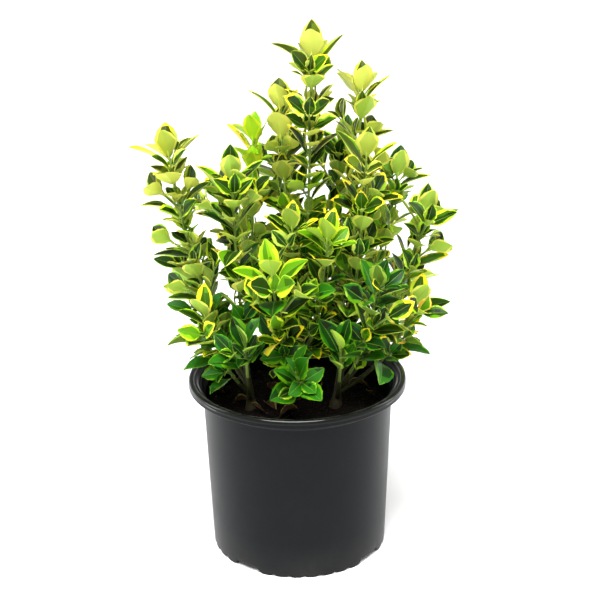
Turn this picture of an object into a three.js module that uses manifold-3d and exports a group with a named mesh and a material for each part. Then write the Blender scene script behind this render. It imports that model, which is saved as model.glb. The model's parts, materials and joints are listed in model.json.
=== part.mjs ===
// Potted golden euonymus: a clump of leafy shoots in a round black nursery pot.
// Millimetres, +Z up. The origin is the middle of the pot's underside.
// Every shoot rises from one of four stems. Its bare foot is a bough, its leafy end a mass of
// foliage: one twig that carries crossed pairs of leaves and short side twigs, by a seeded rule.

import * as THREE from "three";
import { mergeVertices } from "three/addons/utils/BufferGeometryUtils.js";
import Module from "manifold-3d";

const wasm = await Module();
wasm.setup();

// Gap between solids that touch on the real plant
const clearance = 0.3;

// Pot
const potHeight = 144;
const potSides = 36;
const rimRadius = 86;
const rimBandHeight = 7;
const rimSkin = 1.7;
const beadWidth = 5.4;
const beadRounding = 1.3;
const lipRadius = 77.8;
const lipDrop = 3;
const collarDepth = 12;
const collarStep = 0.7;
const wallTopRadius = 75.4;
const wallFootRadius = 69.8;
const wallSkin = 1.8;
const floorSkin = 2;

// Foot of the pot: a centre disc and an outer ring stand on the ground, with a gutter between
const centreDiscRadius = 52;
const footRingWidth = 3.8;
const gutterRise = 4.5;
const gutterSlope = 1.5;
const archCount = 4;
const archTurn = -37;
const archWidth = 19;
const lobesPerQuarter = 7;
const notchDepth = 0.9;
const notchWidth = 2;
const notchReach = 1.6;
const drainRadius = 4.5;
const drainCut = 13.5;
const drainSides = 12;
const cutOverlap = 1;

// Soil
const soilHeight = 122;
const soilSides = 24;

// Limbs, as radii
const stemFootRadius = 3.4;
const stemTipRadius = 1.9;
const flareGain = 0.55;
const flareHeight = 14;
const boughRootRadius = 2;
const boughTipRadius = 1.5;
const twigRootRadius = 1.7;
const twigTipRadius = 0.9;
const sideTwigRadius = 0.9;
const stemSides = 8;
const boughSides = 6;
const limbStep = 20;
const curveSpots = 200;
const outwardShare = 0.72;
const upwardShare = 0.36;

// Leaves
const leafLength = 33;
const leafAspect = 0.6;
const leafThickness = 1.2;
const leafShoulders = [0.38, 0.76];
const leafCentre = 0.56;
const leafStations = [0.38, 0.56, 0.76, 0.9];
const leafBends = [-0.1, 0.06];
const leafFolds = [0.2, 0.5];
const leafSwing = 12;
const openingSpread = 0.16;
const lengthSpread = 0.1;
const stalkShare = 0.1;
const shapePower = 1.27;
const shapeFullness = 0.8;

// Pairs of leaves down a shoot, counted from its tip
const pairSpacings = [6, 15, 18, 17, 17];
const pairOpenings = [15, 46, 57, 67, 74];
const pairSizes = [0.84, 0.98, 1, 1, 0.98];
const spacingSpread = 0.12;
const collarHeight = 2.2;
const sideCollarTop = 3.3;
const footSpace = 4.4;
const budHeight = 3.6;
const sideTwigFromPair = 2;
const sideTwigChance = 0.8;
const sideTwigLengths = [13, 25];
const sideTwigOpening = 38;
const sideTwigSpread = 0.2;
const sideLeafSize = 0.74;
const sideLeafOpening = 42;
// Ways to hold a leaf, tried in turn: degrees aside, and shares of its opening and its length
const leafTries = [
  [0, 1, 1],
  [0, 0.75, 0.95],
  [26, 1, 0.9],
  [-26, 1, 0.9],
  [0, 1.2, 0.82],
  [0, 0.5, 0.82],
  [40, 0.8, 0.75],
  [-40, 0.8, 0.75],
];

// Room that a leaf keeps to the space of the next mass, to the limbs and to the pot
const spaceMargin = 0.9;
const limbMargin = 1;
const spotStep = 4;
const soilMargin = 1.5;
const rimMargin = 1.5;
const tipSpace = 16;
const bladeMargin = 0.6;
const leafFreeFrom = 0.22;
const twigMargin = 1.8;

// Stems: foot on the soil, the shoot that each carries on at its tip, and its bare length
const stems = [
  { name: "middle", foot: [-1, 2], carries: "top" },
  { name: "left", foot: [-36, -14], carries: "left_front" },
  { name: "right", foot: [30, -12], carries: "right_top" },
  { name: "back", foot: [4, 34], carries: "back_centre" },
];

// Shoots: the stem and the height that each leaves it at, the place of its tip, how much of it
// is leafy, the bearing of its uppermost pair of leaves, and its leaf size
const shoots = [
  { name: "top", stem: "middle", tip: [14, 0, 396], leafy: 184, turn: 85, size: 1.08 },
  { name: "upper_left", stem: "middle", from: 178, tip: [-10, 18, 353], leafy: 134, turn: 80, size: 1.02 },
  { name: "centre", stem: "middle", from: 160, tip: [-2, -18, 270], leafy: 96, turn: 75, size: 0.98 },
  { name: "front", stem: "middle", from: 138, tip: [-17, -66, 251], leafy: 124, turn: 95, size: 1.06 },
  { name: "front_centre", stem: "middle", from: 150, tip: [24, -40, 268], leafy: 120, turn: 60, size: 1 },
  { name: "low_front", stem: "middle", from: 129, tip: [1, -57, 166], leafy: 36, turn: 38, size: 1.06 },
  { name: "left_front", stem: "left", tip: [-46, -25, 311], leafy: 140, turn: 100, size: 1 },
  { name: "far_left", stem: "left", from: 146, tip: [-93, -5, 325], leafy: 150, turn: 95, size: 1 },
  { name: "left_lime", stem: "left", from: 160, tip: [-31, 14, 330], leafy: 132, turn: 85, size: 0.98 },
  { name: "low_left", stem: "left", from: 134, tip: [-68, -28, 204], leafy: 64, turn: 70, size: 0.98 },
  { name: "low_front_left", stem: "left", from: 129, tip: [-38, -56, 194], leafy: 36, turn: 20, size: 0.92 },
  { name: "right_top", stem: "right", tip: [51, 12, 367], leafy: 160, turn: 95, size: 1.02 },
  { name: "right_front", stem: "right", from: 168, tip: [53, -26, 328], leafy: 124, turn: 80, size: 1 },
  { name: "right_back", stem: "right", from: 182, tip: [79, 28, 296], leafy: 104, turn: 90, size: 0.98 },
  { name: "far_right", stem: "right", from: 148, tip: [97, -6, 275], leafy: 108, turn: 95, size: 1.04 },
  { name: "front_right", stem: "right", from: 136, tip: [60, -50, 234], leafy: 88, turn: 55, size: 1 },
  { name: "low_right", stem: "right", from: 131, tip: [90, -20, 208], leafy: 42, turn: 95, size: 0.98 },
  { name: "low_front_right", stem: "right", from: 128, tip: [33, -54, 188], leafy: 38, turn: 40, size: 1 },
  { name: "back_centre", stem: "back", tip: [-6, 56, 310], leafy: 122, turn: 30, size: 0.98 },
  { name: "back_right", stem: "back", from: 166, tip: [38, 50, 314], leafy: 126, turn: 75, size: 0.98 },
  { name: "back_left", stem: "back", from: 158, tip: [-56, 38, 280], leafy: 106, turn: 20, size: 0.98 },
  { name: "back_far_left", stem: "left", from: 140, tip: [-82, 34, 230], leafy: 78, turn: 50, size: 0.98 },
  { name: "back_low_left", stem: "back", from: 136, tip: [-40, 78, 230], leafy: 90, turn: 60, size: 0.98 },
  { name: "back_low", stem: "back", from: 130, tip: [8, 88, 236], leafy: 96, turn: 15, size: 0.98 },
  { name: "back_low_right", stem: "back", from: 144, tip: [56, 72, 240], leafy: 92, turn: 35, size: 0.98 },
  { name: "right_low_back", stem: "right", from: 134, tip: [86, 34, 212], leafy: 68, turn: 80, size: 0.98 },
];

// Seeds, one for each shoot, and the terms of the run of numbers that each starts
const firstSeed = 4000;
const seedStep = 131;
const runFactor = 1664525;
const runTerm = 1013904223;
const runRange = 2 ** 32;

// Colour and roughness of each kind of part
const looks = {
  pot: { color: 0x25272a, roughness: 0.45 },
  soil: { color: 0x2a1d14, roughness: 0.95 },
  stem: { color: 0x6d6234, roughness: 0.8 },
  bough: { color: 0x7f8a3c, roughness: 0.7 },
  foliage: { color: 0x6f9e22, roughness: 0.5 },
};

// Points closer than this are one corner
const weldDistance = 1e-4;

const group = new THREE.Group();
const toRadians = THREE.MathUtils.degToRad;

// Solids and meshes

function toSolid(geometry) {
  const bare = geometry.clone();
  bare.deleteAttribute("normal");
  bare.deleteAttribute("uv");
  const welded = mergeVertices(bare, weldDistance);
  return new wasm.Manifold(new wasm.Mesh({
    numProp: 3,
    vertProperties: new Float32Array(welded.attributes.position.array),
    triVerts: new Uint32Array(welded.index.array),
  }));
}

function toGeometry(solid) {
  const mesh = solid.getMesh();
  const geometry = new THREE.BufferGeometry();
  geometry.setAttribute("position", new THREE.BufferAttribute(mesh.vertProperties, 3));
  geometry.setIndex(new THREE.BufferAttribute(mesh.triVerts, 1));
  geometry.computeVertexNormals();
  return geometry;
}

function addPart(name, geometry, look) {
  const material = new THREE.MeshStandardMaterial({ ...look, metalness: 0 });
  const mesh = new THREE.Mesh(geometry, material);
  mesh.name = name;
  group.add(mesh);
}

function closedGeometry(points, triangles) {
  const geometry = new THREE.BufferGeometry().setFromPoints(points);
  geometry.setIndex(triangles);
  geometry.computeVertexNormals();
  return geometry;
}

// A profile of [radius, height] pairs turned round +Z
function turned(profile, sides) {
  const geometry = new THREE.LatheGeometry(profile.map(([r, z]) => new THREE.Vector2(r, z)), sides);
  geometry.rotateX(Math.PI / 2);
  return geometry;
}

// A seeded run of numbers from 0 to 1
function numbersFrom(seed) {
  let state = seed >>> 0;
  return () => {
    state = (Math.imul(state, runFactor) + runTerm) >>> 0;
    return state / runRange;
  };
}

// Pot

const outerWallRadius = (z) => THREE.MathUtils.lerp(wallFootRadius, wallTopRadius, z / potHeight);
const innerWallRadius = (z) => outerWallRadius(z) - wallSkin;

function potSolid() {
  const rimFoot = potHeight - rimBandHeight;
  const lipHeight = potHeight - lipDrop;
  const collarFoot = potHeight - collarDepth;
  const gutterInner = centreDiscRadius + gutterSlope;
  const gutterOuter = wallFootRadius - footRingWidth;
  const gutterTop = gutterRise + floorSkin;
  const profile = [
    [0, 0],
    [centreDiscRadius, 0],
    [gutterInner, gutterRise],
    [gutterOuter, gutterRise],
    [gutterOuter, 0],
    [wallFootRadius, 0],
    [outerWallRadius(collarFoot), collarFoot],
    [outerWallRadius(collarFoot) + collarStep, collarFoot],
    [outerWallRadius(lipHeight) + collarStep, lipHeight - rimSkin],
    [rimRadius - rimSkin, potHeight - rimSkin - beadRounding],
    [rimRadius - rimSkin, rimFoot],
    [rimRadius, rimFoot],
    [rimRadius, potHeight - beadRounding],
    [rimRadius - beadRounding, potHeight],
    [rimRadius - beadWidth + beadRounding, potHeight],
    [rimRadius - beadWidth, potHeight - beadRounding],
    [lipRadius, lipHeight],
    [innerWallRadius(collarFoot) + collarStep, collarFoot],
    [innerWallRadius(collarFoot), collarFoot - collarStep],
    [innerWallRadius(gutterTop), gutterTop],
    [gutterInner - gutterSlope, gutterTop],
    [centreDiscRadius - floorSkin, floorSkin],
    [0, floorSkin],
  ];
  return toSolid(turned(profile, potSides));
}

// A box that lies along a bearing round the pot, to cut the foot
function footCutter(bearing, width, innerRadius, outerRadius, height) {
  const length = outerRadius - innerRadius;
  const geometry = new THREE.BoxGeometry(length, width, 2 * height);
  geometry.translate(innerRadius + length / 2, 0, 0);
  geometry.rotateZ(toRadians(bearing));
  return toSolid(geometry);
}

function drainHole(bearing) {
  const middle = (centreDiscRadius + gutterSlope + wallFootRadius - footRingWidth) / 2;
  const geometry = new THREE.CylinderGeometry(drainRadius, drainRadius, drainCut, drainSides);
  geometry.rotateX(Math.PI / 2);
  geometry.translate(middle, 0, gutterRise + floorSkin);
  geometry.rotateZ(toRadians(bearing));
  return toSolid(geometry);
}

function makePot() {
  let pot = potSolid();
  const quarter = 360 / archCount;
  const lobePitch = (quarter - archWidth) / lobesPerQuarter;
  const archChord = 2 * wallFootRadius * Math.sin(toRadians(archWidth / 2));
  const ringInside = wallFootRadius - footRingWidth - cutOverlap;
  const beyond = wallFootRadius + notchReach;
  for (let arch = 0; arch < archCount; arch += 1) {
    const bearing = archTurn + arch * quarter;
    pot = pot.subtract(footCutter(bearing, archChord, ringInside, beyond, gutterRise));
    pot = pot.subtract(drainHole(bearing));
    for (let lobe = 1; lobe < lobesPerQuarter; lobe += 1) {
      const notch = bearing + archWidth / 2 + lobe * lobePitch;
      const inner = wallFootRadius - notchReach;
      pot = pot.subtract(footCutter(notch, notchWidth, inner, beyond, notchDepth));
    }
  }
  addPart("pot", toGeometry(pot), looks.pot);
}

function makeSoil() {
  const floorTop = floorSkin + clearance;
  const gutterTop = gutterRise + floorSkin + clearance;
  const profile = [
    [0, floorTop],
    [centreDiscRadius - floorSkin - clearance, floorTop],
    [centreDiscRadius - clearance, gutterTop],
    [innerWallRadius(gutterTop) - clearance, gutterTop],
    [innerWallRadius(soilHeight) - clearance, soilHeight],
    [0, soilHeight],
  ];
  addPart("soil", turned(profile, soilSides), looks.soil);
}

// Limbs

// A curve that leaves its stem outwards and then turns up to its tip
function risingCurve(start, tip) {
  const across = new THREE.Vector3().lerpVectors(start, tip, outwardShare);
  const up = THREE.MathUtils.lerp(start.z, tip.z, upwardShare);
  return new THREE.QuadraticBezierCurve3(start, new THREE.Vector3(across.x, across.y, up), tip);
}

// Two directions square to a limb, the first as near to +X as it can be
function squareTo(direction) {
  const first = new THREE.Vector3(1, 0, 0).addScaledVector(direction, -direction.x).normalize();
  const second = new THREE.Vector3().crossVectors(direction, first);
  return [first, second];
}

// A closed tapering tube through points, with a radius for each
function limbGeometry(points, radii, sides) {
  const vertices = [];
  const triangles = [];
  points.forEach((point, ring) => {
    const before = points[Math.max(ring - 1, 0)];
    const after = points[Math.min(ring + 1, points.length - 1)];
    const direction = new THREE.Vector3().subVectors(after, before).normalize();
    const [first, second] = squareTo(direction);
    for (let side = 0; side < sides; side += 1) {
      const angle = (2 * Math.PI * side) / sides;
      vertices.push(point.clone()
        .addScaledVector(first, radii[ring] * Math.cos(angle))
        .addScaledVector(second, radii[ring] * Math.sin(angle)));
    }
  });
  for (let ring = 0; ring < points.length - 1; ring += 1) {
    for (let side = 0; side < sides; side += 1) {
      const here = ring * sides + side;
      const next = ring * sides + ((side + 1) % sides);
      triangles.push(here, next, next + sides, here, next + sides, here + sides);
    }
  }
  const last = (points.length - 1) * sides;
  for (let side = 1; side < sides - 1; side += 1) {
    triangles.push(0, side + 1, side, last, last + side, last + side + 1);
  }
  return closedGeometry(vertices, triangles);
}

// Points along a curve between two lengths measured from its start
function stretch(curve, fromLength, toLength, step) {
  const whole = curve.getLength();
  const count = Math.max(2, Math.round((toLength - fromLength) / step));
  const points = [];
  for (let index = 0; index <= count; index += 1) {
    const along = THREE.MathUtils.lerp(fromLength, toLength, index / count);
    points.push(curve.getPointAt(along / whole));
  }
  return points;
}

const lerpRadii = (count, from, to) =>
  Array.from({ length: count }, (_, index) => THREE.MathUtils.lerp(from, to, index / (count - 1)));

// The point on a curve at a height above the ground
function pointAtHeight(curve, height) {
  return curve.getSpacedPoints(curveSpots).find((point) => point.z >= height);
}

function stemRadius(point, share) {
  const above = Math.max(0, point.z - soilHeight);
  const flare = flareGain * Math.max(0, 1 - above / flareHeight) ** 2;
  return THREE.MathUtils.lerp(stemFootRadius, stemTipRadius, share) * (1 + flare);
}

function planStem(stem) {
  const carried = shoots.find((shoot) => shoot.name === stem.carries);
  const foot = new THREE.Vector3(stem.foot[0], stem.foot[1], soilHeight + clearance);
  stem.curve = risingCurve(foot, new THREE.Vector3(...carried.tip));
  stem.length = stem.curve.getLength() - carried.leafy;
  stem.points = [foot, ...stretch(stem.curve, flareHeight / 2, stem.length, limbStep)];
  stem.radii = stem.points.map((point, index) => stemRadius(point, index / (stem.points.length - 1)));
  carried.curve = stem.curve;
  carried.start = stem.length + clearance;
}

function planBough(shoot) {
  const stem = stems.find((each) => each.name === shoot.stem);
  const start = pointAtHeight(stem.curve, shoot.from);
  shoot.curve = risingCurve(start, new THREE.Vector3(...shoot.tip));
  const length = shoot.curve.getLength() - shoot.leafy;
  shoot.points = stretch(shoot.curve, 0, length, limbStep);
  shoot.radii = lerpRadii(shoot.points.length, boughRootRadius, boughTipRadius);
  shoot.start = length + clearance;
}

stems.forEach(planStem);
const boughs = shoots.filter((shoot) => shoot.from !== undefined);
boughs.forEach(planBough);

// A stem stands with a level foot, so its first ring lies flat on the soil
function stemGeometry(stem, extra) {
  const radii = stem.radii.map((radius) => radius + extra);
  const geometry = limbGeometry(stem.points, radii, stemSides);
  const position = geometry.attributes.position;
  for (let side = 0; side < stemSides; side += 1) {
    const angle = (2 * Math.PI * side) / stemSides;
    position.setXYZ(side,
      stem.points[0].x + radii[0] * Math.cos(angle),
      stem.points[0].y + radii[0] * Math.sin(angle),
      stem.points[0].z);
  }
  return geometry;
}

function makeLimbs() {
  for (const stem of stems) {
    addPart(`stem_${stem.name}`, stemGeometry(stem, 0), looks.stem);
  }
  for (const bough of boughs) {
    const stem = stems.find((each) => each.name === bough.stem);
    const whole = toSolid(limbGeometry(bough.points, bough.radii, boughSides));
    const solid = whole.subtract(toSolid(stemGeometry(stem, clearance)));
    addPart(`bough_${bough.name}`, toGeometry(solid), looks.bough);
  }
}

// Own space of each mass

const limbs = [...stems, ...boughs];

function distanceToPath(point, path) {
  const line = new THREE.Line3();
  const nearest = new THREE.Vector3();
  let least = Infinity;
  for (let index = 0; index < path.length - 1; index += 1) {
    line.set(path[index], path[index + 1]).closestPointToPoint(point, true, nearest);
    least = Math.min(least, nearest.distanceTo(point));
  }
  return least;
}

// The middle line of a mass's space: its twig, carried on past the tip by the height of a leaf
function planSpace(shoot) {
  const length = shoot.curve.getLength();
  shoot.path = stretch(shoot.curve, shoot.start, length, limbStep);
  const heading = shoot.curve.getTangentAt(1);
  shoot.space = [...shoot.path, shoot.path.at(-1).clone().addScaledVector(heading, tipSpace)];
}

shoots.forEach(planSpace);

function isOwnSpace(point, shoot) {
  const own = distanceToPath(point, shoot.space) + spaceMargin;
  return shoots.every((other) => other === shoot || distanceToPath(point, other.space) > own);
}

// Spots close together down the middle of every stem and bough, each with the limb's radius there
function spotsOn(limb) {
  return limb.points.slice(1).flatMap((end, index) => {
    const start = limb.points[index];
    const count = Math.ceil(start.distanceTo(end) / spotStep);
    return Array.from({ length: count + 1 }, (_, spot) => ({
      point: start.clone().lerp(end, spot / count),
      radius: THREE.MathUtils.lerp(limb.radii[index], limb.radii[index + 1], spot / count),
    }));
  });
}

const limbSpots = limbs.flatMap(spotsOn);

const isClearOfLimbs = (point) =>
  limbSpots.every((spot) => spot.point.distanceTo(point) > spot.radius + limbMargin);

function isClearOfPot(point) {
  const radius = Math.hypot(point.x, point.y);
  const inside = innerWallRadius(soilHeight) - rimMargin;
  if (radius < inside) {
    return point.z > soilHeight + soilMargin;
  }
  return radius > rimRadius + rimMargin || point.z > potHeight + rimMargin;
}

const hasRoom = (points, shoot) =>
  points.every((point) => isClearOfPot(point) && isOwnSpace(point, shoot));

// Leaves

function leafHalfWidth(leaf, along) {
  const blade = Math.max(0, (along - stalkShare) / (1 - stalkShare));
  const swell = Math.sin(Math.PI * blade ** shapePower) ** shapeFullness;
  return 0.5 * leafAspect * leaf.length * swell;
}

// How far the blade rises off its straight line, by its bow and by the fold along its midrib
const bladeRise = (leaf, along, across) =>
  leaf.bend * leaf.length * along * along + leaf.fold * Math.abs(across);

// A point of the blade: its share of the length, its distance to the side, its lift off the face
function leafPoint(leaf, along, across, lift = 0) {
  return leaf.root.clone()
    .addScaledVector(leaf.forward, along * leaf.length)
    .addScaledVector(leaf.side, across)
    .addScaledVector(leaf.normal, bladeRise(leaf, along, across) + lift);
}

// A leaf whose root is on a twig: outward is square to the twig's heading, and the leaf opens
// by an angle from that heading
function makeLeaf(root, heading, outward, opening, length, bend, fold) {
  const forward = heading.clone().multiplyScalar(Math.cos(toRadians(opening)))
    .addScaledVector(outward, Math.sin(toRadians(opening)));
  const normal = heading.clone().addScaledVector(forward, -heading.dot(forward)).normalize();
  const side = new THREE.Vector3().crossVectors(normal, forward);
  return { root, forward, normal, side, length, bend, fold };
}

// The edge of the blade from its low shoulder round the tip to the other low shoulder
function leafEdge(leaf) {
  const [low, high] = leafShoulders;
  return [
    leafPoint(leaf, low, -leafHalfWidth(leaf, low)),
    leafPoint(leaf, high, -leafHalfWidth(leaf, high)),
    leafPoint(leaf, 1, 0),
    leafPoint(leaf, high, leafHalfWidth(leaf, high)),
    leafPoint(leaf, low, leafHalfWidth(leaf, low)),
  ];
}

// Points spread over the blade that stand for it when its room is tested
function leafSamples(leaf) {
  const samples = [leafPoint(leaf, 1, 0)];
  for (const along of leafStations) {
    const half = leafHalfWidth(leaf, along);
    samples.push(leafPoint(leaf, along, -half), leafPoint(leaf, along, 0), leafPoint(leaf, along, half));
  }
  return samples;
}

// The edge and the midrib as lines, each starting a little way out from the root
function leafLines(leaf) {
  const start = leafPoint(leaf, leafFreeFrom, 0);
  return [[start, ...leafEdge(leaf), start], [start, leafPoint(leaf, leafCentre, 0), leafPoint(leaf, 1, 0)]];
}

// Where a point lies beside a blade: along it, across it and above its face
function placeOnLeaf(leaf, point) {
  const offset = point.clone().sub(leaf.root);
  const along = offset.dot(leaf.forward) / leaf.length;
  const across = offset.dot(leaf.side);
  return { along, across, above: offset.dot(leaf.normal) - bladeRise(leaf, along, across) };
}

function piercesBlade(start, end, leaf) {
  const from = placeOnLeaf(leaf, start);
  const to = placeOnLeaf(leaf, end);
  const nearest = Math.min(Math.abs(from.above), Math.abs(to.above));
  if (from.above * to.above > 0 && nearest > bladeMargin) {
    return false;
  }
  const share = THREE.MathUtils.clamp(from.above / (from.above - to.above), 0, 1);
  const along = THREE.MathUtils.lerp(from.along, to.along, share);
  const across = THREE.MathUtils.lerp(from.across, to.across, share);
  return along > 0 && along < 1 && Math.abs(across) < leafHalfWidth(leaf, along) + bladeMargin;
}

const linePierces = (line, leaf) =>
  line.slice(1).some((end, index) => piercesBlade(line[index], end, leaf));

const leavesCross = (one, other) =>
  leafLines(one).some((line) => linePierces(line, other))
  || leafLines(other).some((line) => linePierces(line, one));

function isNearBlade(point, leaf, margin) {
  const { along, across, above } = placeOnLeaf(leaf, point);
  const past = margin / leaf.length;
  const half = leafHalfWidth(leaf, THREE.MathUtils.clamp(along, 0, 1));
  return along > -past && along < 1 + past && Math.abs(above) < margin && Math.abs(across) < half + margin;
}

const bladeTouchesLimb = (leaf) =>
  limbSpots.some((spot) => isNearBlade(spot.point, leaf, spot.radius + limbMargin));

// A blade also keeps off its own shoot's twigs, from its middle to its tip
function isClearOfTwigs(leaf, shoot) {
  const outer = [leafPoint(leaf, leafCentre, 0), ...leafEdge(leaf).slice(1, 4)];
  return outer.every((point) => distanceToPath(point, shoot.path) > twigMargin)
    && !shoot.twigs.some((twig) => piercesBlade(...twig.line, leaf));
}

function leafFits(leaf, shoot) {
  return !shoot.leaves.some((grown) => leavesCross(leaf, grown))
    && isClearOfTwigs(leaf, shoot)
    && !bladeTouchesLimb(leaf)
    && hasRoom(leafSamples(leaf), shoot);
}

// The first of a few turned, steeper and smaller ways to hold a leaf that has room, or nothing
function fitLeaf(shoot, root, heading, outward, opening, length, bend, fold) {
  const ways = leafTries.map(([turn, openingShare, lengthShare]) => {
    const aim = outward.clone().applyAxisAngle(heading, toRadians(turn));
    return makeLeaf(root, heading, aim, opening * openingShare, length * lengthShare, bend, fold);
  });
  return ways.find((leaf) => leafFits(leaf, shoot));
}

// Twigs. Each is square in section, with a frame at every ring: across and up are square to its
// heading, and its sides 0 to 3 face down, across, up and back.

function frameAt(shoot, along) {
  const share = along / shoot.curve.getLength();
  const heading = shoot.curve.getTangentAt(share);
  const [first, second] = squareTo(heading);
  const turn = toRadians(shoot.turn);
  const across = first.multiplyScalar(Math.cos(turn)).addScaledVector(second, Math.sin(turn));
  const up = new THREE.Vector3().crossVectors(heading, across);
  return { centre: shoot.curve.getPointAt(share), heading, across, up };
}

function sideDirection(frame, side) {
  const axis = side % 2 === 1 ? frame.across : frame.up;
  const sense = side === 0 || side === 3 ? -1 : 1;
  return axis.clone().multiplyScalar(sense);
}

const atPair = (values, pair) => values[Math.min(pair, values.length - 1)];
const around = (random, middle, share) => middle * (1 + share * (2 * random() - 1));

// A pair of leaves on two opposite sides of a twig
function growPair(shoot, random, frame, sides, opening, length) {
  return sides.map((side) => {
    const swing = toRadians(leafSwing * (2 * random() - 1));
    const outward = sideDirection(frame, side).applyAxisAngle(frame.heading, swing);
    const lean = around(random, opening, openingSpread);
    const size = around(random, length, lengthSpread);
    const bend = THREE.MathUtils.lerp(...leafBends, random());
    const fold = THREE.MathUtils.lerp(...leafFolds, random());
    return fitLeaf(shoot, frame.centre, frame.heading, outward, lean, size, bend, fold);
  });
}

// A short twig above a leaf, with a pair of leaves near its tip
function growSideTwig(shoot, random, frame, side) {
  const length = THREE.MathUtils.lerp(...sideTwigLengths, random());
  const opening = around(random, sideTwigOpening, sideTwigSpread);
  const root = frame.centre.clone().addScaledVector(frame.heading, collarHeight);
  const aim = makeLeaf(root, frame.heading, sideDirection(frame, side), opening, length, 0, 0);
  const tip = { centre: leafPoint(aim, 1, 0), heading: aim.forward, across: aim.side, up: aim.normal };
  const size = leafLength * shoot.size * sideLeafSize;
  const leaves = growPair(shoot, random, tip, [1, 3], sideLeafOpening, size);
  const line = [leafPoint(aim, leafFreeFrom, 0), tip.centre];
  const crosses = shoot.leaves.some((leaf) => piercesBlade(...line, leaf));
  const bare = leaves.every((leaf) => leaf === undefined);
  const fits = !bare && !crosses && line.every(isClearOfLimbs) && hasRoom(line, shoot);
  return fits ? { tip, line, leaves } : undefined;
}

// The pairs of a shoot, from its tip down
function growShoot(shoot, seed) {
  const random = numbersFrom(seed);
  const whole = shoot.curve.getLength();
  shoot.leaves = [];
  shoot.twigs = [];
  shoot.pairs = [];
  let along = whole - collarHeight;
  for (let pair = 0; along > shoot.start + footSpace; pair += 1) {
    const frame = frameAt(shoot, along);
    const sides = pair % 2 === 0 ? [1, 3] : [2, 0];
    const length = leafLength * shoot.size * atPair(pairSizes, pair);
    const leaves = growPair(shoot, random, frame, sides, atPair(pairOpenings, pair), length);
    shoot.leaves.push(...leaves.filter((leaf) => leaf !== undefined));
    const twigs = [undefined, undefined];
    sides.forEach((side, index) => {
      const grows = random() < sideTwigChance && pair >= sideTwigFromPair;
      const twig = growSideTwig(shoot, random, frame, side);
      if (grows && twig !== undefined) {
        twigs[index] = twig;
        shoot.twigs.push(twig);
        shoot.leaves.push(...twig.leaves.filter((leaf) => leaf !== undefined));
      }
    });
    shoot.pairs.push({ along, sides, leaves, twigs });
    along -= around(random, atPair(pairSpacings, pair), spacingSpread);
  }
}

// Foliage meshes. Leaves and side twigs grow out of the sides of a twig and share its vertices,
// so a mass is one closed body. A side is a loop of four corners, turning left seen from outside.

function addRing(mesh, frame, shift, radius) {
  const corners = [[-1, -1], [1, -1], [1, 1], [-1, 1]];
  return corners.map(([across, up]) => mesh.points.push(frame.centre.clone()
    .addScaledVector(frame.heading, shift)
    .addScaledVector(frame.across, across * radius * Math.SQRT1_2)
    .addScaledVector(frame.up, up * radius * Math.SQRT1_2)) - 1);
}

function addLeaf(mesh, loop, leaf) {
  const [lowLeft, lowRight, highRight, highLeft] = loop;
  const [a, b, tip, c, d] = leafEdge(leaf).map((point) => mesh.points.push(point) - 1);
  const face = mesh.points.push(leafPoint(leaf, leafCentre, 0, leafThickness / 2)) - 1;
  const back = mesh.points.push(leafPoint(leaf, leafCentre, 0, -leafThickness / 2)) - 1;
  const faceEdge = [highLeft, a, b, tip, c, d, highRight, highLeft];
  const backEdge = [lowLeft, lowRight, d, c, tip, b, a, lowLeft];
  for (let index = 0; index < faceEdge.length - 1; index += 1) {
    mesh.triangles.push(face, faceEdge[index], faceEdge[index + 1]);
    mesh.triangles.push(back, backEdge[index], backEdge[index + 1]);
  }
  mesh.triangles.push(highLeft, lowLeft, a, highRight, d, lowRight);
}

// The stretch of a twig between two rings, with what grows out of each of its sides
function addStretch(mesh, lower, upper, growths = []) {
  for (let side = 0; side < 4; side += 1) {
    const next = (side + 1) % 4;
    const loop = [lower[side], lower[next], upper[next], upper[side]];
    const grow = growths[side];
    if (grow === undefined) {
      mesh.triangles.push(loop[0], loop[1], loop[2], loop[0], loop[2], loop[3]);
    } else {
      grow(loop);
    }
  }
}

function addBud(mesh, ring, frame, shift) {
  const tip = mesh.points.push(frame.centre.clone().addScaledVector(frame.heading, shift)) - 1;
  for (let side = 0; side < 4; side += 1) {
    mesh.triangles.push(ring[side], ring[(side + 1) % 4], tip);
  }
}

// What grows out of the sides of a collar, in the order of the sides
function growthsOn(sides, items, add) {
  const growths = [];
  items.forEach((item, index) => {
    if (item !== undefined) {
      growths[sides[index]] = (loop) => add(loop, item);
    }
  });
  return growths;
}

function addSideTwig(mesh, loop, twig) {
  const lower = addRing(mesh, twig.tip, -collarHeight / 2, sideTwigRadius);
  const upper = addRing(mesh, twig.tip, collarHeight / 2, sideTwigRadius);
  addStretch(mesh, loop, lower);
  addStretch(mesh, lower, upper,
    growthsOn([1, 3], twig.leaves, (side, leaf) => addLeaf(mesh, side, leaf)));
  addBud(mesh, upper, twig.tip, budHeight);
}

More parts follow.
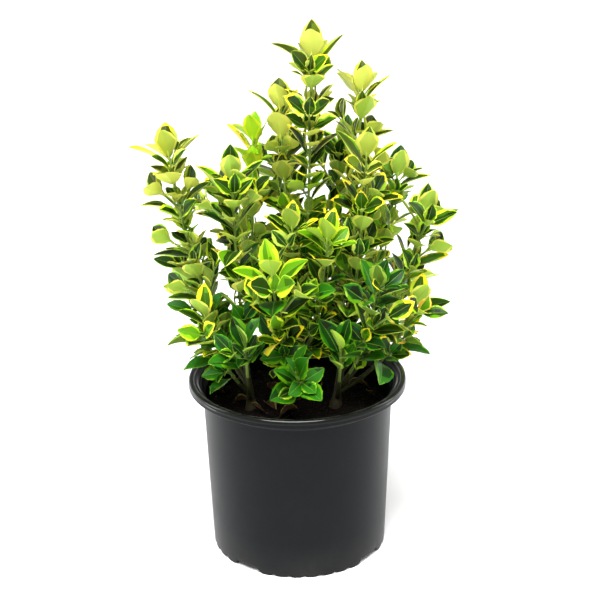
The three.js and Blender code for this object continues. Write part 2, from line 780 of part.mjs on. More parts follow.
function massGeometry(shoot) {
  const mesh = { points: [], triangles: [] };
  const whole = shoot.curve.getLength();
  const radiusAt = (along) =>
    THREE.MathUtils.mapLinear(along, shoot.start, whole, twigRootRadius, twigTipRadius);
  let ring = addRing(mesh, frameAt(shoot, shoot.start), 0, twigRootRadius);
  mesh.triangles.push(ring[0], ring[2], ring[1], ring[0], ring[3], ring[2]);
  for (const { along, sides, leaves, twigs } of [...shoot.pairs].reverse()) {
    const frame = frameAt(shoot, along);
    const lower = addRing(mesh, frame, -collarHeight / 2, radiusAt(along));
    const upper = addRing(mesh, frame, collarHeight / 2, radiusAt(along));
    addStretch(mesh, ring, lower);
    addStretch(mesh, lower, upper, growthsOn(sides, leaves, (side, leaf) => addLeaf(mesh, side, leaf)));
    ring = upper;
    if (twigs.some((twig) => twig !== undefined)) {
      ring = addRing(mesh, frame, sideCollarTop, radiusAt(along));
      addStretch(mesh, upper, ring, growthsOn(sides, twigs, (side, twig) => addSideTwig(mesh, side, twig)));
    }
  }
  addBud(mesh, ring, frameAt(shoot, whole), budHeight);
  return closedGeometry(mesh.points, mesh.triangles);
}

function makeMass(shoot, index) {
  growShoot(shoot, firstSeed + index * seedStep);
  addPart(`foliage_${shoot.name}`, massGeometry(shoot), looks.foliage);
}

makePot();
makeSoil();
makeLimbs();
shoots.forEach(makeMass);

export default group;
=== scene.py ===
import json
import math

import bpy
import numpy as np
from mathutils import Matrix, Vector, noise

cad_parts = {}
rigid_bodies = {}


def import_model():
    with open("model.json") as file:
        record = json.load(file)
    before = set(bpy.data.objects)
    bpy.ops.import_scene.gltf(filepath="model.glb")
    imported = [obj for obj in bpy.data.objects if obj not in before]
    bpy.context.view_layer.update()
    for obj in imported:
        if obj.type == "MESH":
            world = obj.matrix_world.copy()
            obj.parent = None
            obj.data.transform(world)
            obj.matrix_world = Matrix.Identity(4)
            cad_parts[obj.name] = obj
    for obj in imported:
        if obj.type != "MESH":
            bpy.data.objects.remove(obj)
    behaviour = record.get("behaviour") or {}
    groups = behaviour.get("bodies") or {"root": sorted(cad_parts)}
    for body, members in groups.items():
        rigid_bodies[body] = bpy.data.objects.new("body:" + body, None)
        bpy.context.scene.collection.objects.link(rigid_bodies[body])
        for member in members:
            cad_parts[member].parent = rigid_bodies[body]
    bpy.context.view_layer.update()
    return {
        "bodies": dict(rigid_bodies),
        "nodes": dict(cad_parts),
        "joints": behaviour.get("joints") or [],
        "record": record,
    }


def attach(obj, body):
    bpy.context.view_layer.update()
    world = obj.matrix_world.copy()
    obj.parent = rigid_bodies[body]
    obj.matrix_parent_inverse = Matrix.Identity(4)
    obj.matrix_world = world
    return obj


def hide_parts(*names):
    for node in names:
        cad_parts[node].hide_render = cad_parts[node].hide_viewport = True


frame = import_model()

# ----------------------------------------
# Camera: a long lens a little over a metre away, looking down on the pot's rim, and turned
# slightly about its own line of sight, so the pot's left side sits a touch lower.


def placed(name, data):
    """A new object of some data, put into the scene."""
    made = bpy.data.objects.new(name, data)
    bpy.context.scene.collection.objects.link(made)
    return made


camera = placed("camera", bpy.data.cameras.new("camera"))
bpy.context.scene.camera = camera
camera.data.lens = 90
camera.data.sensor_width = 36
camera_place = (0.003, -1.085, 0.631)
look_down = math.radians(21.36)
camera_roll = math.radians(0.8)
camera.matrix_world = (
    Matrix.Translation(camera_place)
    @ Matrix.Rotation(math.pi / 2 - look_down, 4, "X")
    @ Matrix.Rotation(-camera_roll, 4, "Z")
)

# ----------------------------------------
# Pot: a squat round nursery pot blow-moulded in satin black plastic, open at the top, with a
# rolled rim over a stacking collar. It stands on the middle of its floor and on a scalloped
# foot ring, which four low arches interrupt. Each arch has a drain hole behind it.

MM = 0.001
pot_height = 144
wall_foot_radius = 69.8
wall_top_radius = 75.4
wall_skin = 1.8
collar_foot = 132
collar_step = 0.7
rim_radius = 86
rim_foot = 137
rim_skin = 1.7
bead_width = 5.4
lip_radius = 77.8
lip_height = 141
floor_skin = 2
disc_radius = 52
ring_inside = 66
gutter_rise = 4.5
gutter_slope = 1.5
pot_segments = 480
arch_count = 4
arch_bearing = -37
arch_width = 19
arch_rise = 4.2
lobes_per_quarter = 7
notch_rise = 2.4
notch_sharpness = 3.6
drain_radius = 4.5
drain_sides = 24
rounding_steps = 4
most_rounding = 0.45


def linear(code):
    """A hex colour as it looks on a screen, turned into light values for a shader."""
    parts = [int(code[i:i + 2], 16) / 255 for i in (0, 2, 4)]
    return tuple(p / 12.92 if p <= 0.04045 else ((p + 0.055) / 1.055) ** 2.4 for p in parts) + (1,)


def sum_node(operation, swapped=False):
    """A method that adds a sum of a socket and another socket or number."""
    def method(self, other):
        first, second = (other, self) if swapped else (self, other)
        return self.node("ShaderNodeMath", {"operation": operation}, {0: first, 1: second})
    return method


class Socket:
    """A node's output that can be used in plain sums; node() adds any other node after it."""

    def __init__(self, tree, socket=None):
        self.tree, self.socket = tree, socket

    def node(self, kind, settings=None, inputs=None, output=0):
        made = self.tree.nodes.new(kind)
        for name, value in (settings or {}).items():
            setattr(made, name, value)
        for name, value in (inputs or {}).items():
            if isinstance(value, Socket):
                self.tree.links.new(value.socket, made.inputs[name])
            else:
                made.inputs[name].default_value = value
        return Socket(self.tree, made.outputs[output] if made.outputs else None)

    def noise(self, place, scale, detail, roughness=0.5):
        return self.node("ShaderNodeTexNoise", {}, {
            "Vector": place, "Scale": scale, "Detail": detail, "Roughness": roughness})

    def bump(self, strength, distance, height):
        return self.node("ShaderNodeBump", {}, {
            "Strength": strength, "Distance": distance, "Height": height})

    def vector(self, operation, inputs, output=0):
        """Adds a sum of this vector and the other inputs given."""
        inputs = {0: self, **inputs}
        return self.node("ShaderNodeVectorMath", {"operation": operation}, inputs, output)

    def ramp(self, start, end, low=0, high=1):
        """Leads this number from one range to another."""
        return self.node("ShaderNodeMapRange", {}, {0: self, 1: start, 2: end, 3: low, 4: high})

    def blend(self, low, high):
        """Mixes two colours by this number."""
        return self.node("ShaderNodeMix", {"data_type": "RGBA"}, {0: self, 6: low, 7: high}, 2)

    __add__, __mul__, __sub__ = sum_node("ADD"), sum_node("MULTIPLY"), sum_node("SUBTRACT")
    __rsub__, __pow__ = sum_node("SUBTRACT", True), sum_node("POWER")
    __gt__, __lt__ = sum_node("GREATER_THAN"), sum_node("LESS_THAN")


def new_material(name, **constants):
    """A material whose shader has the given constant sockets, and a Socket to start nodes from."""
    material = bpy.data.materials.new(name)
    material.use_nodes = True
    shader = material.node_tree.nodes["Principled BSDF"]
    for socket, value in constants.items():
        shader.inputs[socket.replace("_", " ").title().replace("Ior", "IOR")].default_value = value
    return material, Socket(material.node_tree)


def wire(material, **links):
    """Leads finished sockets into a material's shader."""
    shader = material.node_tree.nodes["Principled BSDF"]
    for socket, value in links.items():
        material.node_tree.links.new(value.socket, shader.inputs[socket.replace("_", " ").title()])


def new_piece(name, points, faces, materials):
    """A mesh object from points in millimetres, with its place in its mesh."""
    mesh = bpy.data.meshes.new(name)
    mesh.from_pydata((np.asarray(points) * MM).tolist(), [], faces)
    for material in materials:
        mesh.materials.append(material)
    mesh.shade_smooth()
    return placed(name, mesh)


def outer_wall(z):
    return wall_foot_radius + (wall_top_radius - wall_foot_radius) * z / pot_height


def inner_wall(z):
    return outer_wall(z) - wall_skin


def circle(radius, z, count, x=0, y=0):
    """A level ring of points round a place."""
    turns = [2 * math.pi * side / count for side in range(count)]
    return [(x + radius * math.cos(turn), y + radius * math.sin(turn), z) for turn in turns]


def closed_skin(ends, rings, turned_over=False):
    """Points and faces of a closed skin, from its two ends and the rings of points between."""
    count = len(rings[0])
    points = [ends[0], *(point for ring in rings for point in ring), ends[1]]
    last_ring = 1 + (len(rings) - 1) * count
    faces = []
    for side in range(count):
        beside = (side + 1) % count
        faces.append((0, 1 + side, 1 + beside))
        for here in range(1, last_ring, count):
            there = here + count
            faces.append((here + side, there + side, there + beside, here + beside))
        faces.append((last_ring + side, len(points) - 1, last_ring + beside))
    if turned_over:
        faces = [(face[0], *reversed(face[1:])) for face in faces]
    return points, faces


def rounded(corners):
    """A profile of (radius, height, rounding) corners, with each rounded corner as a short arc."""
    points = []
    for index, (r, z, rounding) in enumerate(corners):
        corner = np.array([r, z])
        if rounding == 0:
            points.append(corner)
            continue
        before = np.array(corners[index - 1][:2]) - corner
        after = np.array(corners[index + 1][:2]) - corner
        start = corner + before * min(most_rounding, rounding / np.linalg.norm(before))
        end = corner + after * min(most_rounding, rounding / np.linalg.norm(after))
        for step in range(rounding_steps + 1):
            t = step / rounding_steps
            points.append((1 - t) ** 2 * start + 2 * t * (1 - t) * corner + t ** 2 * end)
    return np.array(points)


def foot_lift(bearing):
    """How far the foot ring's edge is lifted off the ground at a bearing, in degrees."""
    quarter = 360 / arch_count
    past = (bearing - arch_bearing + arch_width / 2) % quarter
    if past < arch_width:
        from_side = min(past, arch_width - past)
        return arch_rise * min(1, 0.25 + from_side)
    lobe = (past - arch_width) / (quarter - arch_width) * lobes_per_quarter % 1
    return notch_rise * abs(2 * lobe - 1) ** notch_sharpness


gutter_inner = disc_radius + gutter_slope
gutter_top = gutter_rise + floor_skin
pot_profile = rounded([
    (0, 0, 0),
    (30, 0, 0),
    (disc_radius, 0, 0.8),
    (gutter_inner, gutter_rise, 0.8),
    (ring_inside - 0.6, gutter_rise, 0.5),
    (ring_inside, 0, 0.4),
    (wall_foot_radius, 0, 0.9),
    *((outer_wall(z), z, 0) for z in (6, 12, 45, 90)),
    (outer_wall(collar_foot - 1.2), collar_foot - 1.2, 0.5),
    (outer_wall(collar_foot) + collar_step, collar_foot, 0.5),
    (outer_wall(lip_height) + collar_step, lip_height - rim_skin - 1, 1),
    (rim_radius - rim_skin, lip_height - rim_skin, 0.8),
    (rim_radius - rim_skin, rim_foot + 0.3, 0.3),
    (rim_radius - rim_skin / 2, rim_foot, 0.4),
    (rim_radius, rim_foot + 0.7, 0.5),
    (rim_radius + 0.1, 140.4, 0.6),
    (rim_radius - 0.25, 141.2, 0.5),
    (rim_radius - 0.1, pot_height - 1, 1),
    (rim_radius - 1.4, pot_height, 0.9),
    (rim_radius - bead_width + 1.4, pot_height - 0.1, 1.1),
    (rim_radius - bead_width, pot_height - 2, 1),
    (lip_radius + 1.2, lip_height - 0.2, 0.9),
    (lip_radius, lip_height - 0.8, 0.7),
    (inner_wall(collar_foot) + collar_step + 0.8, collar_foot + 1.6, 1),
    (inner_wall(collar_foot) + collar_step - 0.2, collar_foot, 0.8),
    (inner_wall(collar_foot) - 0.2, collar_foot - 1, 0.5),
    (inner_wall(120), 120, 0),
    (inner_wall(gutter_top + 3), gutter_top + 3, 0),
    (inner_wall(gutter_top), gutter_top, 0.8),
    (disc_radius, gutter_top, 0.8),
    (disc_radius - floor_skin, floor_skin, 0.8),
    (0, floor_skin, 0),
])
pot_rings = []
for r, z in pot_profile[1:-1]:
    ring = circle(r, z, pot_segments)
    if z < 1 and r > gutter_inner + 1:
        lifts = [foot_lift(360 * side / pot_segments) for side in range(pot_segments)]
        ring = [(x, y, z + lift) for (x, y, z), lift in zip(ring, lifts)]
    pot_rings.append(ring)

# The plastic is nearly black. It has the faint flow marks of its moulding running upwards, a
# fine pebble in its gloss, a little dust towards the foot, and a rim that is polished by hands.
# The rim's colour is also painted darker than the wall's, as painted shade.
pot_plastic, start = new_material(
    "black_pot_plastic", specular_ior_level=0.1, coat_roughness=0.06)
place = start.node("ShaderNodeTexCoord", output=3)
drawn = start.node("ShaderNodeMapping", {}, {"Vector": place, "Scale": (60, 60, 5)})
flow = start.noise(drawn, 1, 3)
grain = start.noise(place, 900, 2)
cloud = start.noise(place, 28, 5, 0.62)
height = start.node("ShaderNodeSeparateXYZ", {}, {"Vector": place}, 2)
dust = height.ramp(0.03, 0, 0, 0.5)
bloom = (dust * cloud) + (cloud ** 6) * 0.5
# The rim, from 134 mm up, is painted darker than the wall: painted shade
painted_rim_shade = height.ramp(0.134, 0.139)
gloss = (height > 0.1428) * 0.7 + (height > 0.1404) * (height < 0.1412) * 0.7
dusty = bloom.blend(linear("0b0e11"), linear("363430"))
wire(
    pot_plastic,
    base_color=painted_rim_shade.blend(dusty, linear("070809")),
    coat_weight=gloss,
    roughness=flow * 0.1 + cloud * 0.14 + 0.24,
    normal=start.bump(0.12, 0.0004, grain + flow),
)

pot_ends = [(0, 0, 0), (0, 0, floor_skin)]
pot = new_piece("pot", *closed_skin(pot_ends, pot_rings, True), [pot_plastic])
drain_points = []
drain_faces = []
for arch in range(arch_count):
    bearing = math.radians(arch_bearing + arch * 360 / arch_count)
    middle = (gutter_inner + ring_inside) / 2
    x, y = middle * math.cos(bearing), middle * math.sin(bearing)
    heights = (-2, gutter_top + 4)
    rings = [circle(drain_radius, z, drain_sides, x, y) for z in heights]
    points, faces = closed_skin([(x, y, z) for z in heights], rings, True)
    drain_faces += [tuple(len(drain_points) + corner for corner in face) for face in faces]
    drain_points += points
drains = new_piece("drains", drain_points, drain_faces, [pot_plastic])
drill = pot.modifiers.new("drill", "BOOLEAN")
drill.operation, drill.solver, drill.object = "DIFFERENCE", "EXACT", drains


def settle(piece):
    """Turns a piece and its modifiers into a plain mesh."""
    scene_now = bpy.context.evaluated_depsgraph_get()
    mesh = bpy.data.meshes.new_from_object(piece.evaluated_get(scene_now))
    name = mesh.name = piece.name
    bpy.data.objects.remove(piece)
    return placed(name, mesh)


pot = settle(pot)
bpy.data.objects.remove(drains)
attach(pot, "root")
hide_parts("pot")

# ----------------------------------------
# Soil: damp dark bark compost that fills the pot to a little under the rim. It is lumpy on top
# and heaped up slightly round the stems, and it stays just clear of the pot's wall and floor.

soil_height = 122
soil_clearance = 0.3
soil_ring_count = 60
soil_segments = 180
soil_relief = 2.6
soil_settling = 1.2
heap_height = 1.8
heap_spread = 90
lump_scale = 0.07
edge_sink = 2.2
edge_from = 0.93
edge_band = 0.07
stem_feet = {"middle": (-1, 2), "left": (-36, -14), "right": (30, -12), "back": (4, 34)}


def soil_top(x, y):
    """The height of the soil's surface at a place."""
    lumps = noise.fractal((x * lump_scale, y * lump_scale, 2.7), 0.9, 2.1, 5)
    heap = sum(math.exp(-((x - foot_x) ** 2 + (y - foot_y) ** 2) / heap_spread)
               for foot_x, foot_y in stem_feet.values())
    return soil_height - soil_settling + soil_relief * lumps + heap_height * heap


soil_edge = inner_wall(soil_height) - soil_clearance
soil_rings = []
for number in range(1, soil_ring_count + 1):
    sink = edge_sink * max(0, (number / soil_ring_count - edge_from) / edge_band) ** 2
    ring = circle(soil_edge * number / soil_ring_count, 0, soil_segments)
    soil_rings.append([(x, y, soil_top(x, y) - sink) for x, y, _ in ring])
for r, z in (
        (inner_wall(60) - soil_clearance, 60),
        (inner_wall(gutter_top + 2) - soil_clearance, gutter_top + 2),
        (inner_wall(gutter_top + 2) - 2, gutter_top + soil_clearance),
        (disc_radius - soil_clearance, gutter_top + soil_clearance),
        (disc_radius - floor_skin - soil_clearance, floor_skin + soil_clearance)):
    soil_rings.append(circle(r, z, soil_segments))

compost, start = new_material("dark_compost", specular_ior_level=0.1)
place = start.node("ShaderNodeTexCoord", output=3)
lumps = start.noise(place, 240, 6, 0.7)
grit = start.node("ShaderNodeTexVoronoi", {}, {"Vector": place, "Scale": 420})
damp = start.noise(place, 35, 3)
wire(
    compost,
    base_color=(lumps ** 2).blend(linear("040302"), linear("1d120b")),
    roughness=0.98 - damp * 0.3,
    normal=start.bump(0.9, 0.0012, lumps + grit),
)
soil_ends = [(0, 0, soil_top(0, 0)), (0, 0, floor_skin + soil_clearance)]
soil = new_piece("soil", *closed_skin(soil_ends, soil_rings), [compost])
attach(soil, "root")
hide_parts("soil")

# ----------------------------------------
# Bark chips: crumbs of composted bark strewn over the soil, most of them dark and damp, a few
# dry and pale. They lie loose on the surface, at all angles.


def new_tree(name, **inputs):
    """A node tree with a Geometry input and output, and one named input for each size."""
    tree = bpy.data.node_groups.new(name, "GeometryNodeTree")
    tree.interface.new_socket("Geometry", in_out="OUTPUT", socket_type="NodeSocketGeometry")
    tree.interface.new_socket("Geometry", in_out="INPUT", socket_type="NodeSocketGeometry")
    for label, (kind, value) in inputs.items():
        made = tree.interface.new_socket(label, in_out="INPUT", socket_type="NodeSocket" + kind)
        if value is not None:
            made.default_value = value
    group = Socket(tree).node("NodeGroupInput")
    outputs = {item.name: Socket(tree, item) for item in group.socket.node.outputs if item.name}
    return tree, outputs


def finish_tree(tree, geometry, material):
    """Ends a tree: real geometry, smooth faces and its material."""
    real = geometry.node("GeometryNodeRealizeInstances", {}, {0: geometry})
    smooth = real.node("GeometryNodeSetShadeSmooth", {}, {0: real})
    painted = smooth.node("GeometryNodeSetMaterial", {}, {0: smooth, "Material": material})
    painted.node("NodeGroupOutput", {}, {0: painted})


def grow(piece, tree, **values):
    """Runs a tree on a piece with the given inputs and returns the plain mesh piece."""
    modifier = piece.modifiers.new(tree.name, "NODES")
    modifier.node_group = tree
    for item in tree.interface.items_tree:
        if item.in_out == "INPUT" and item.name in values:
            modifier[item.identifier] = values[item.name]
    return settle(piece)


chip_tree, chip = new_tree(
    "strewn_chips",
    Density=("Float", 9000), Reach=("Float", 0.068), Seed=("Int", 5),
    Smallest=("Float", 0.0011), Largest=("Float", 0.0042), Finish=("Material", None))
ground = chip["Geometry"]
level = ground.node("GeometryNodeInputPosition").vector("MULTIPLY", {1: (1, 1, 0)})
from_axis = level.vector("LENGTH", {}, 1)
upward = ground.node("ShaderNodeSeparateXYZ", {}, {0: ground.node("GeometryNodeInputNormal")}, 2)
points = ground.node("GeometryNodeDistributePointsOnFaces", {}, {
    0: ground, "Selection": (upward > 0.4) * (from_axis < chip["Reach"]),
    "Density": chip["Density"], "Seed": chip["Seed"]})
crumb = ground.node("GeometryNodeMeshIcoSphere", {}, {"Radius": 0.5, "Subdivisions": 1})
rough = ground.node("ShaderNodeTexNoise", {}, {"Scale": 1.7, "Detail": 1}, 1)
crumb = crumb.node("GeometryNodeSetPosition", {}, {
    0: crumb, "Offset": rough.vector("SCALE", {3: 0.4})})
any_way = ground.node("FunctionNodeRandomValue", {"data_type": "FLOAT_VECTOR"},
                      {0: (-0.5, -0.5, 0), 1: (0.5, 0.5, 6.28), "Seed": chip["Seed"]})
share = ground.node("FunctionNodeRandomValue", {"data_type": "FLOAT_VECTOR"},
                    {0: (0.5, 0.25, 0.12), 1: (2.4, 1.0, 0.5), "Seed": chip["Seed"] + 1})
size = ground.node("ShaderNodeMix", {"data_type": "FLOAT"}, {
    0: ground.node("FunctionNodeRandomValue", {}, {"Seed": chip["Seed"] + 2}, 1) ** 3,
    2: chip["Smallest"], 3: chip["Largest"]})
strewn = points.node("GeometryNodeInstanceOnPoints", {}, {
    0: points, "Instance": crumb, "Rotation": any_way,
    "Scale": share.vector("SCALE", {3: size})})
finish_tree(chip_tree, strewn, chip["Finish"])
for name, shade, density, seed in (
        ("bark_chips", "150c06", 26000, 5), ("dry_chips", "4c3724", 900, 11)):
    bark, start = new_material(name, roughness=0.85, specular_ior_level=0.15)
    place = start.node("ShaderNodeTexCoord", output=3)
    streaks = start.noise(place, 700, 3)
    wire(bark, base_color=streaks.blend(linear("060402"), linear(shade)))
    chips = placed(name, soil.data.copy())
    chips = grow(chips, chip_tree, Density=density, Seed=seed, Finish=bark)
    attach(chips, "root")

# ----------------------------------------
# Stems and boughs: four woody stems rise from the soil, olive-brown and cracked at the foot and
# greener higher up. Each bough leaves its stem outwards and turns up to its shoot. Leaf scars
# ring them where old pairs of leaves have dropped.

outward_share = 0.72
upward_share = 0.36
stem_foot_radius = 3.4
stem_tip_radius = 1.9
bough_root_radius = 2
bough_tip_radius = 1.5
twig_root_radius = 1.7
twig_tip_radius = 0.9
flare_gain = 0.55
flare_height = 14
limb_clearance = 0.3
limb_step = 20
limb_samples = 201
line_step = 1.5
foot_depth = 3
stem_scars = (17, 0.12)
bough_scars = (15, 0.16)

# Each shoot's stem and the height that it leaves it at, the place of its tip, the length that is
# leafy, the bearing of its top pair, its leaf size, and the tints of its pairs from the tip down:
# v and w dark with a lime edge, p pale, u and q their olive kinds, l lime, b bright green, d dark
# green, g plain green and o amber. The d and g pairs, low down, are plain green as the low leaves
# are, and darker, with darker undersides, as painted shade.
carried = {"middle": "top", "left": "left_front", "right": "right_top", "back": "back_centre"}
shoots = {
    "top": ("middle", None, (14, 0, 396), 184, 85, 1.08, "qquupuvwbg"),
    "upper_left": ("middle", 178, (-10, 18, 353), 134, 80, 1.02, "ququuwvwg"),
    "centre": ("middle", 160, (-2, -18, 270), 96, 75, 0.98, "vvwvvv"),
    "front": ("middle", 138, (-17, -66, 251), 124, 95, 1.06, "lbwvvvgv"),
    "front_centre": ("middle", 150, (24, -40, 268), 120, 60, 1, "lbwvbvv"),
    "low_front": ("middle", 129, (1, -57, 166), 36, 38, 1.06, "gggd"),
    "left_front": ("left", None, (-46, -25, 311), 140, 100, 1, "vvvvpvvg"),
    "far_left": ("left", 146, (-93, -5, 325), 150, 95, 1, "uqpuvvwvg"),
    "left_lime": ("left", 160, (-31, 14, 330), 132, 85, 0.98, "lllwvwvg"),
    "low_left": ("left", 134, (-68, -28, 204), 64, 70, 0.98, "vvvg"),
    "low_front_left": ("left", 129, (-38, -56, 194), 36, 20, 0.92, "gddd"),
    "right_top": ("right", None, (51, 12, 367), 160, 95, 1.02, "qquupuvw"),
    "right_front": ("right", 168, (53, -26, 328), 124, 80, 1, "uuqvvvw"),
    "right_back": ("right", 182, (79, 28, 296), 104, 90, 0.98, "vwvvvw"),
    "far_right": ("right", 148, (97, -6, 275), 108, 95, 1.04, "pvvvvwv"),
    "front_right": ("right", 136, (60, -50, 234), 88, 55, 1, "dddvdg"),
    "low_right": ("right", 131, (90, -20, 208), 42, 95, 0.98, "pvog"),
    "low_front_right": ("right", 128, (33, -54, 188), 38, 40, 1, "ddgg"),
    "back_centre": ("back", None, (-6, 56, 310), 122, 30, 0.98, "vvwvpvv"),
    "back_right": ("back", 166, (38, 50, 314), 126, 75, 0.98, "vvvwvvg"),
    "back_left": ("back", 158, (-56, 38, 280), 106, 20, 0.98, "vwvvvg"),
    "back_far_left": ("left", 140, (-82, 34, 230), 78, 50, 0.98, "vvvwg"),
    "back_low_left": ("back", 136, (-40, 78, 230), 90, 60, 0.98, "wvvgg"),
    "back_low": ("back", 130, (8, 88, 236), 96, 15, 0.98, "vvwvg"),
    "back_low_right": ("back", 144, (56, 72, 240), 92, 35, 0.98, "lwvvg"),
    "right_low_back": ("right", 134, (86, 34, 212), 68, 80, 0.98, "vvog"),
}


class Limb:
    """A curve that leaves its start outwards and turns up to its tip, read by length."""

    def __init__(self, start, tip):
        self.start, self.tip = np.array(start, float), np.array(tip, float)
        bend = np.array([outward_share, outward_share, upward_share])
        self.middle = self.start + (self.tip - self.start) * bend
        self.shares = np.linspace(0, 1, limb_samples)
        steps = np.diff(self.at(self.shares), axis=0)
        self.lengths = np.concatenate([[0], np.cumsum(np.linalg.norm(steps, axis=1))])
        self.length = self.lengths[-1]

    def at(self, share):
        t = np.asarray(share)[..., None]
        return (1 - t) ** 2 * self.start + 2 * t * (1 - t) * self.middle + t ** 2 * self.tip

    def point(self, along):
        return self.at(np.interp(along, self.lengths, self.shares))

    def heading(self, along):
        t = np.interp(along, self.lengths, self.shares)
        way = (1 - t) * (self.middle - self.start) + t * (self.tip - self.middle)
        return way / np.linalg.norm(way)

    def stretch(self, low, high, step):
        count = max(2, round((high - low) / step))
        return self.point(np.linspace(low, high, count + 1))


def stem_radius(z, share):
    """A stem's radius at a height and a share of its length, with the flare at its foot."""
    flare = flare_gain * max(0, 1 - max(0, z - soil_height) / flare_height) ** 2
    return (stem_foot_radius + (stem_tip_radius - stem_foot_radius) * share) * (1 + flare)


limbs = {}
limb_ends = {}
for stem, name in carried.items():
    limbs[name] = Limb((*stem_feet[stem], soil_height + limb_clearance), shoots[name][2])
    limb_ends[name] = limbs[name].length - shoots[name][3]
for name, (stem, leaves_at, tip, leafy, *_) in shoots.items():
    if leaves_at is not None:
        along_stem = limbs[carried[stem]]
        spots = along_stem.point(along_stem.lengths[-1] * np.linspace(0, 1, limb_samples))
        limbs[name] = Limb(spots[np.argmax(spots[:, 2] >= leaves_at)], tip)
        limb_ends[name] = limbs[name].length - leafy

bark_tree, bark_input = new_tree(
    "bark_limbs",
    Sides=("Int", 12), Step=("Float", 0.0015), Relief=("Float", 0.0004), Grain=("Float", 600),
    Finish=("Material", None))
paths = bark_input["Geometry"]
even = paths.node("GeometryNodeResampleCurve", {"mode": "LENGTH"},
                  {0: paths, "Length": bark_input["Step"]})
ring = paths.node("GeometryNodeCurvePrimitiveCircle", {},
                  {"Resolution": bark_input["Sides"], "Radius": 1})
radius = paths.node("GeometryNodeInputRadius")
tube = even.node("GeometryNodeCurveToMesh", {}, {
    0: even, "Profile Curve": ring, "Scale": radius, "Fill Caps": True})
drawn = paths.node("GeometryNodeInputPosition").vector("MULTIPLY", {1: (1, 1, 0.22)})
cracks = paths.noise(drawn, bark_input["Grain"], 3, 0.65)
raised = paths.node("GeometryNodeInputNormal").vector("SCALE", {
    3: (cracks - 0.5) * bark_input["Relief"] * 2})
tube = tube.node("GeometryNodeSetPosition", {}, {0: tube, "Offset": raised})
finish_tree(bark_tree, tube, bark_input["Finish"])


def new_paths(name, lines):
    """A curve object from lines, each an array of points and one of radii, in millimetres."""
    curve = bpy.data.curves.new(name, "CURVE")
    curve.dimensions = "3D"
    for points, radii in lines:
        spline = curve.splines.new("POLY")
        spline.points.add(len(points) - 1)
        places = np.column_stack([points * MM, np.ones(len(points))])
        spline.points.foreach_set("co", places.ravel())
        spline.points.foreach_set("radius", np.asarray(radii) * MM)
    return placed(name, curve)


def bark_material(name, low, high, crack):
    """Bark whose colour runs from brown at the soil to green higher up, with fine dark cracks."""
    made, start = new_material(name, roughness=0.62, specular_ior_level=0.3)
    place = start.node("ShaderNodeTexCoord", output=3)
    long_way = start.node("ShaderNodeMapping", {}, {"Vector": place, "Scale": (1, 1, 0.2)})
    streaks = start.noise(long_way, 900, 4)
    height = start.node("ShaderNodeSeparateXYZ", {}, {"Vector": place}, 2)
    uneven = height + start.noise(place, 120, 3) * 0.05
    tone = uneven.ramp(0.13, 0.26).blend(linear(low), linear(high))
    wire(made, base_color=(streaks ** 3).blend(tone, linear(crack)),
         normal=start.bump(0.5, 0.0004, streaks))
    return made


def with_scars(radii, along, gap, swell):
    """Radii with a small swelling at every old pair of leaves."""
    return radii * (1 + swell * np.exp(-((along + gap / 2) % gap - gap / 2) ** 2 / 2))


stem_bark = bark_material("stem_bark", "2a2012", "4e5420", "140e08")
bough_bark = bark_material("bough_bark", "26230f", "526022", "16150a")
stem_lines = []
bough_lines = []
for name, (stem, leaves_at, *_) in shoots.items():
    end = limb_ends[name]
    along = np.linspace(0, end, max(8, round(end / line_step)))
    points = limbs[name].point(along)
    if leaves_at is None:
        radii = [stem_radius(z, a / end) for z, a in zip(points[:, 2], along)]
        points[0, 2] -= foot_depth
        stem_lines.append((points, with_scars(np.array(radii), along, *stem_scars)))
    else:
        radii = np.linspace(bough_root_radius, bough_tip_radius, len(points))
        bough_lines.append((points, with_scars(radii, along, *bough_scars)))
for name, lines, finish, kind in (
        ("stems", stem_lines, stem_bark, "stem"), ("boughs", bough_lines, bough_bark, "bough")):
    limbs_piece = grow(new_paths(name, lines), bark_tree, Sides=14, Finish=finish)
    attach(limbs_piece, "root")
    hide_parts(*(n for n in frame["nodes"] if n.startswith(kind + "_")))

# ----------------------------------------
# Shoots: each mass of foliage is one green twig with crossed pairs of leaves down it, and short
# side twigs in their axils. They grow by the seeded rule of the solid model, so the leaves
# stand where its leaves do, and then finer twigs fill in between them.

leaf_length = 33
leaf_aspect = 0.6
stalk_share = 0.1
shape_power = 1.27
shape_fullness = 0.8
shoulders = (0.38, 0.76)
leaf_centre = 0.56
sample_shares = np.array([0.38, 0.56, 0.76, 0.9])
free_from = 0.22
leaf_bends = (-0.1, 0.06)
leaf_folds = (0.2, 0.5)
leaf_swing = 12
opening_spread = 0.16
length_spread = 0.1
pair_spacings = (6, 15, 18, 17, 17)
pair_openings = (15, 46, 57, 67, 74)
pair_sizes = (0.84, 0.98, 1, 1, 0.98)
spacing_spread = 0.12
collar_height = 2.2
foot_space = 4.4
bud_height = 3.6
side_twig_from_pair = 2
side_twig_chance = 0.8
side_twig_lengths = (13, 25)
side_twig_opening = 38
side_twig_spread = 0.2
side_twig_radius = 0.9
side_leaf_size = 0.74
side_leaf_opening = 42
leaf_tries = ((0, 1, 1), (0, 0.75, 0.95), (26, 1, 0.9), (-26, 1, 0.9), (0, 1.2, 0.82),
              (0, 0.5, 0.82), (40, 0.8, 0.75), (-40, 0.8, 0.75))
space_margin = 0.9
limb_margin = 1
blade_margin = 0.6
twig_margin = 1.8
spot_step = 4
soil_margin = 1.5
rim_margin = 1.5
tip_space = 16
crossed_sides = ((1, 3), (2, 0))
first_seed = 4000
seed_step = 131


def numbers_from(seed):
    """A seeded run of numbers from 0 to 1."""
    state = seed
    while True:
        state = (state * 1664525 + 1013904223) % 2 ** 32
        yield state / 2 ** 32


def unit(vector):
    return vector / np.linalg.norm(vector)


def turned(vector, axis, angle):
    """A vector turned about an axis by an angle in radians."""
    return (vector * math.cos(angle) + np.cross(axis, vector) * math.sin(angle)
            + axis * (axis @ vector) * (1 - math.cos(angle)))


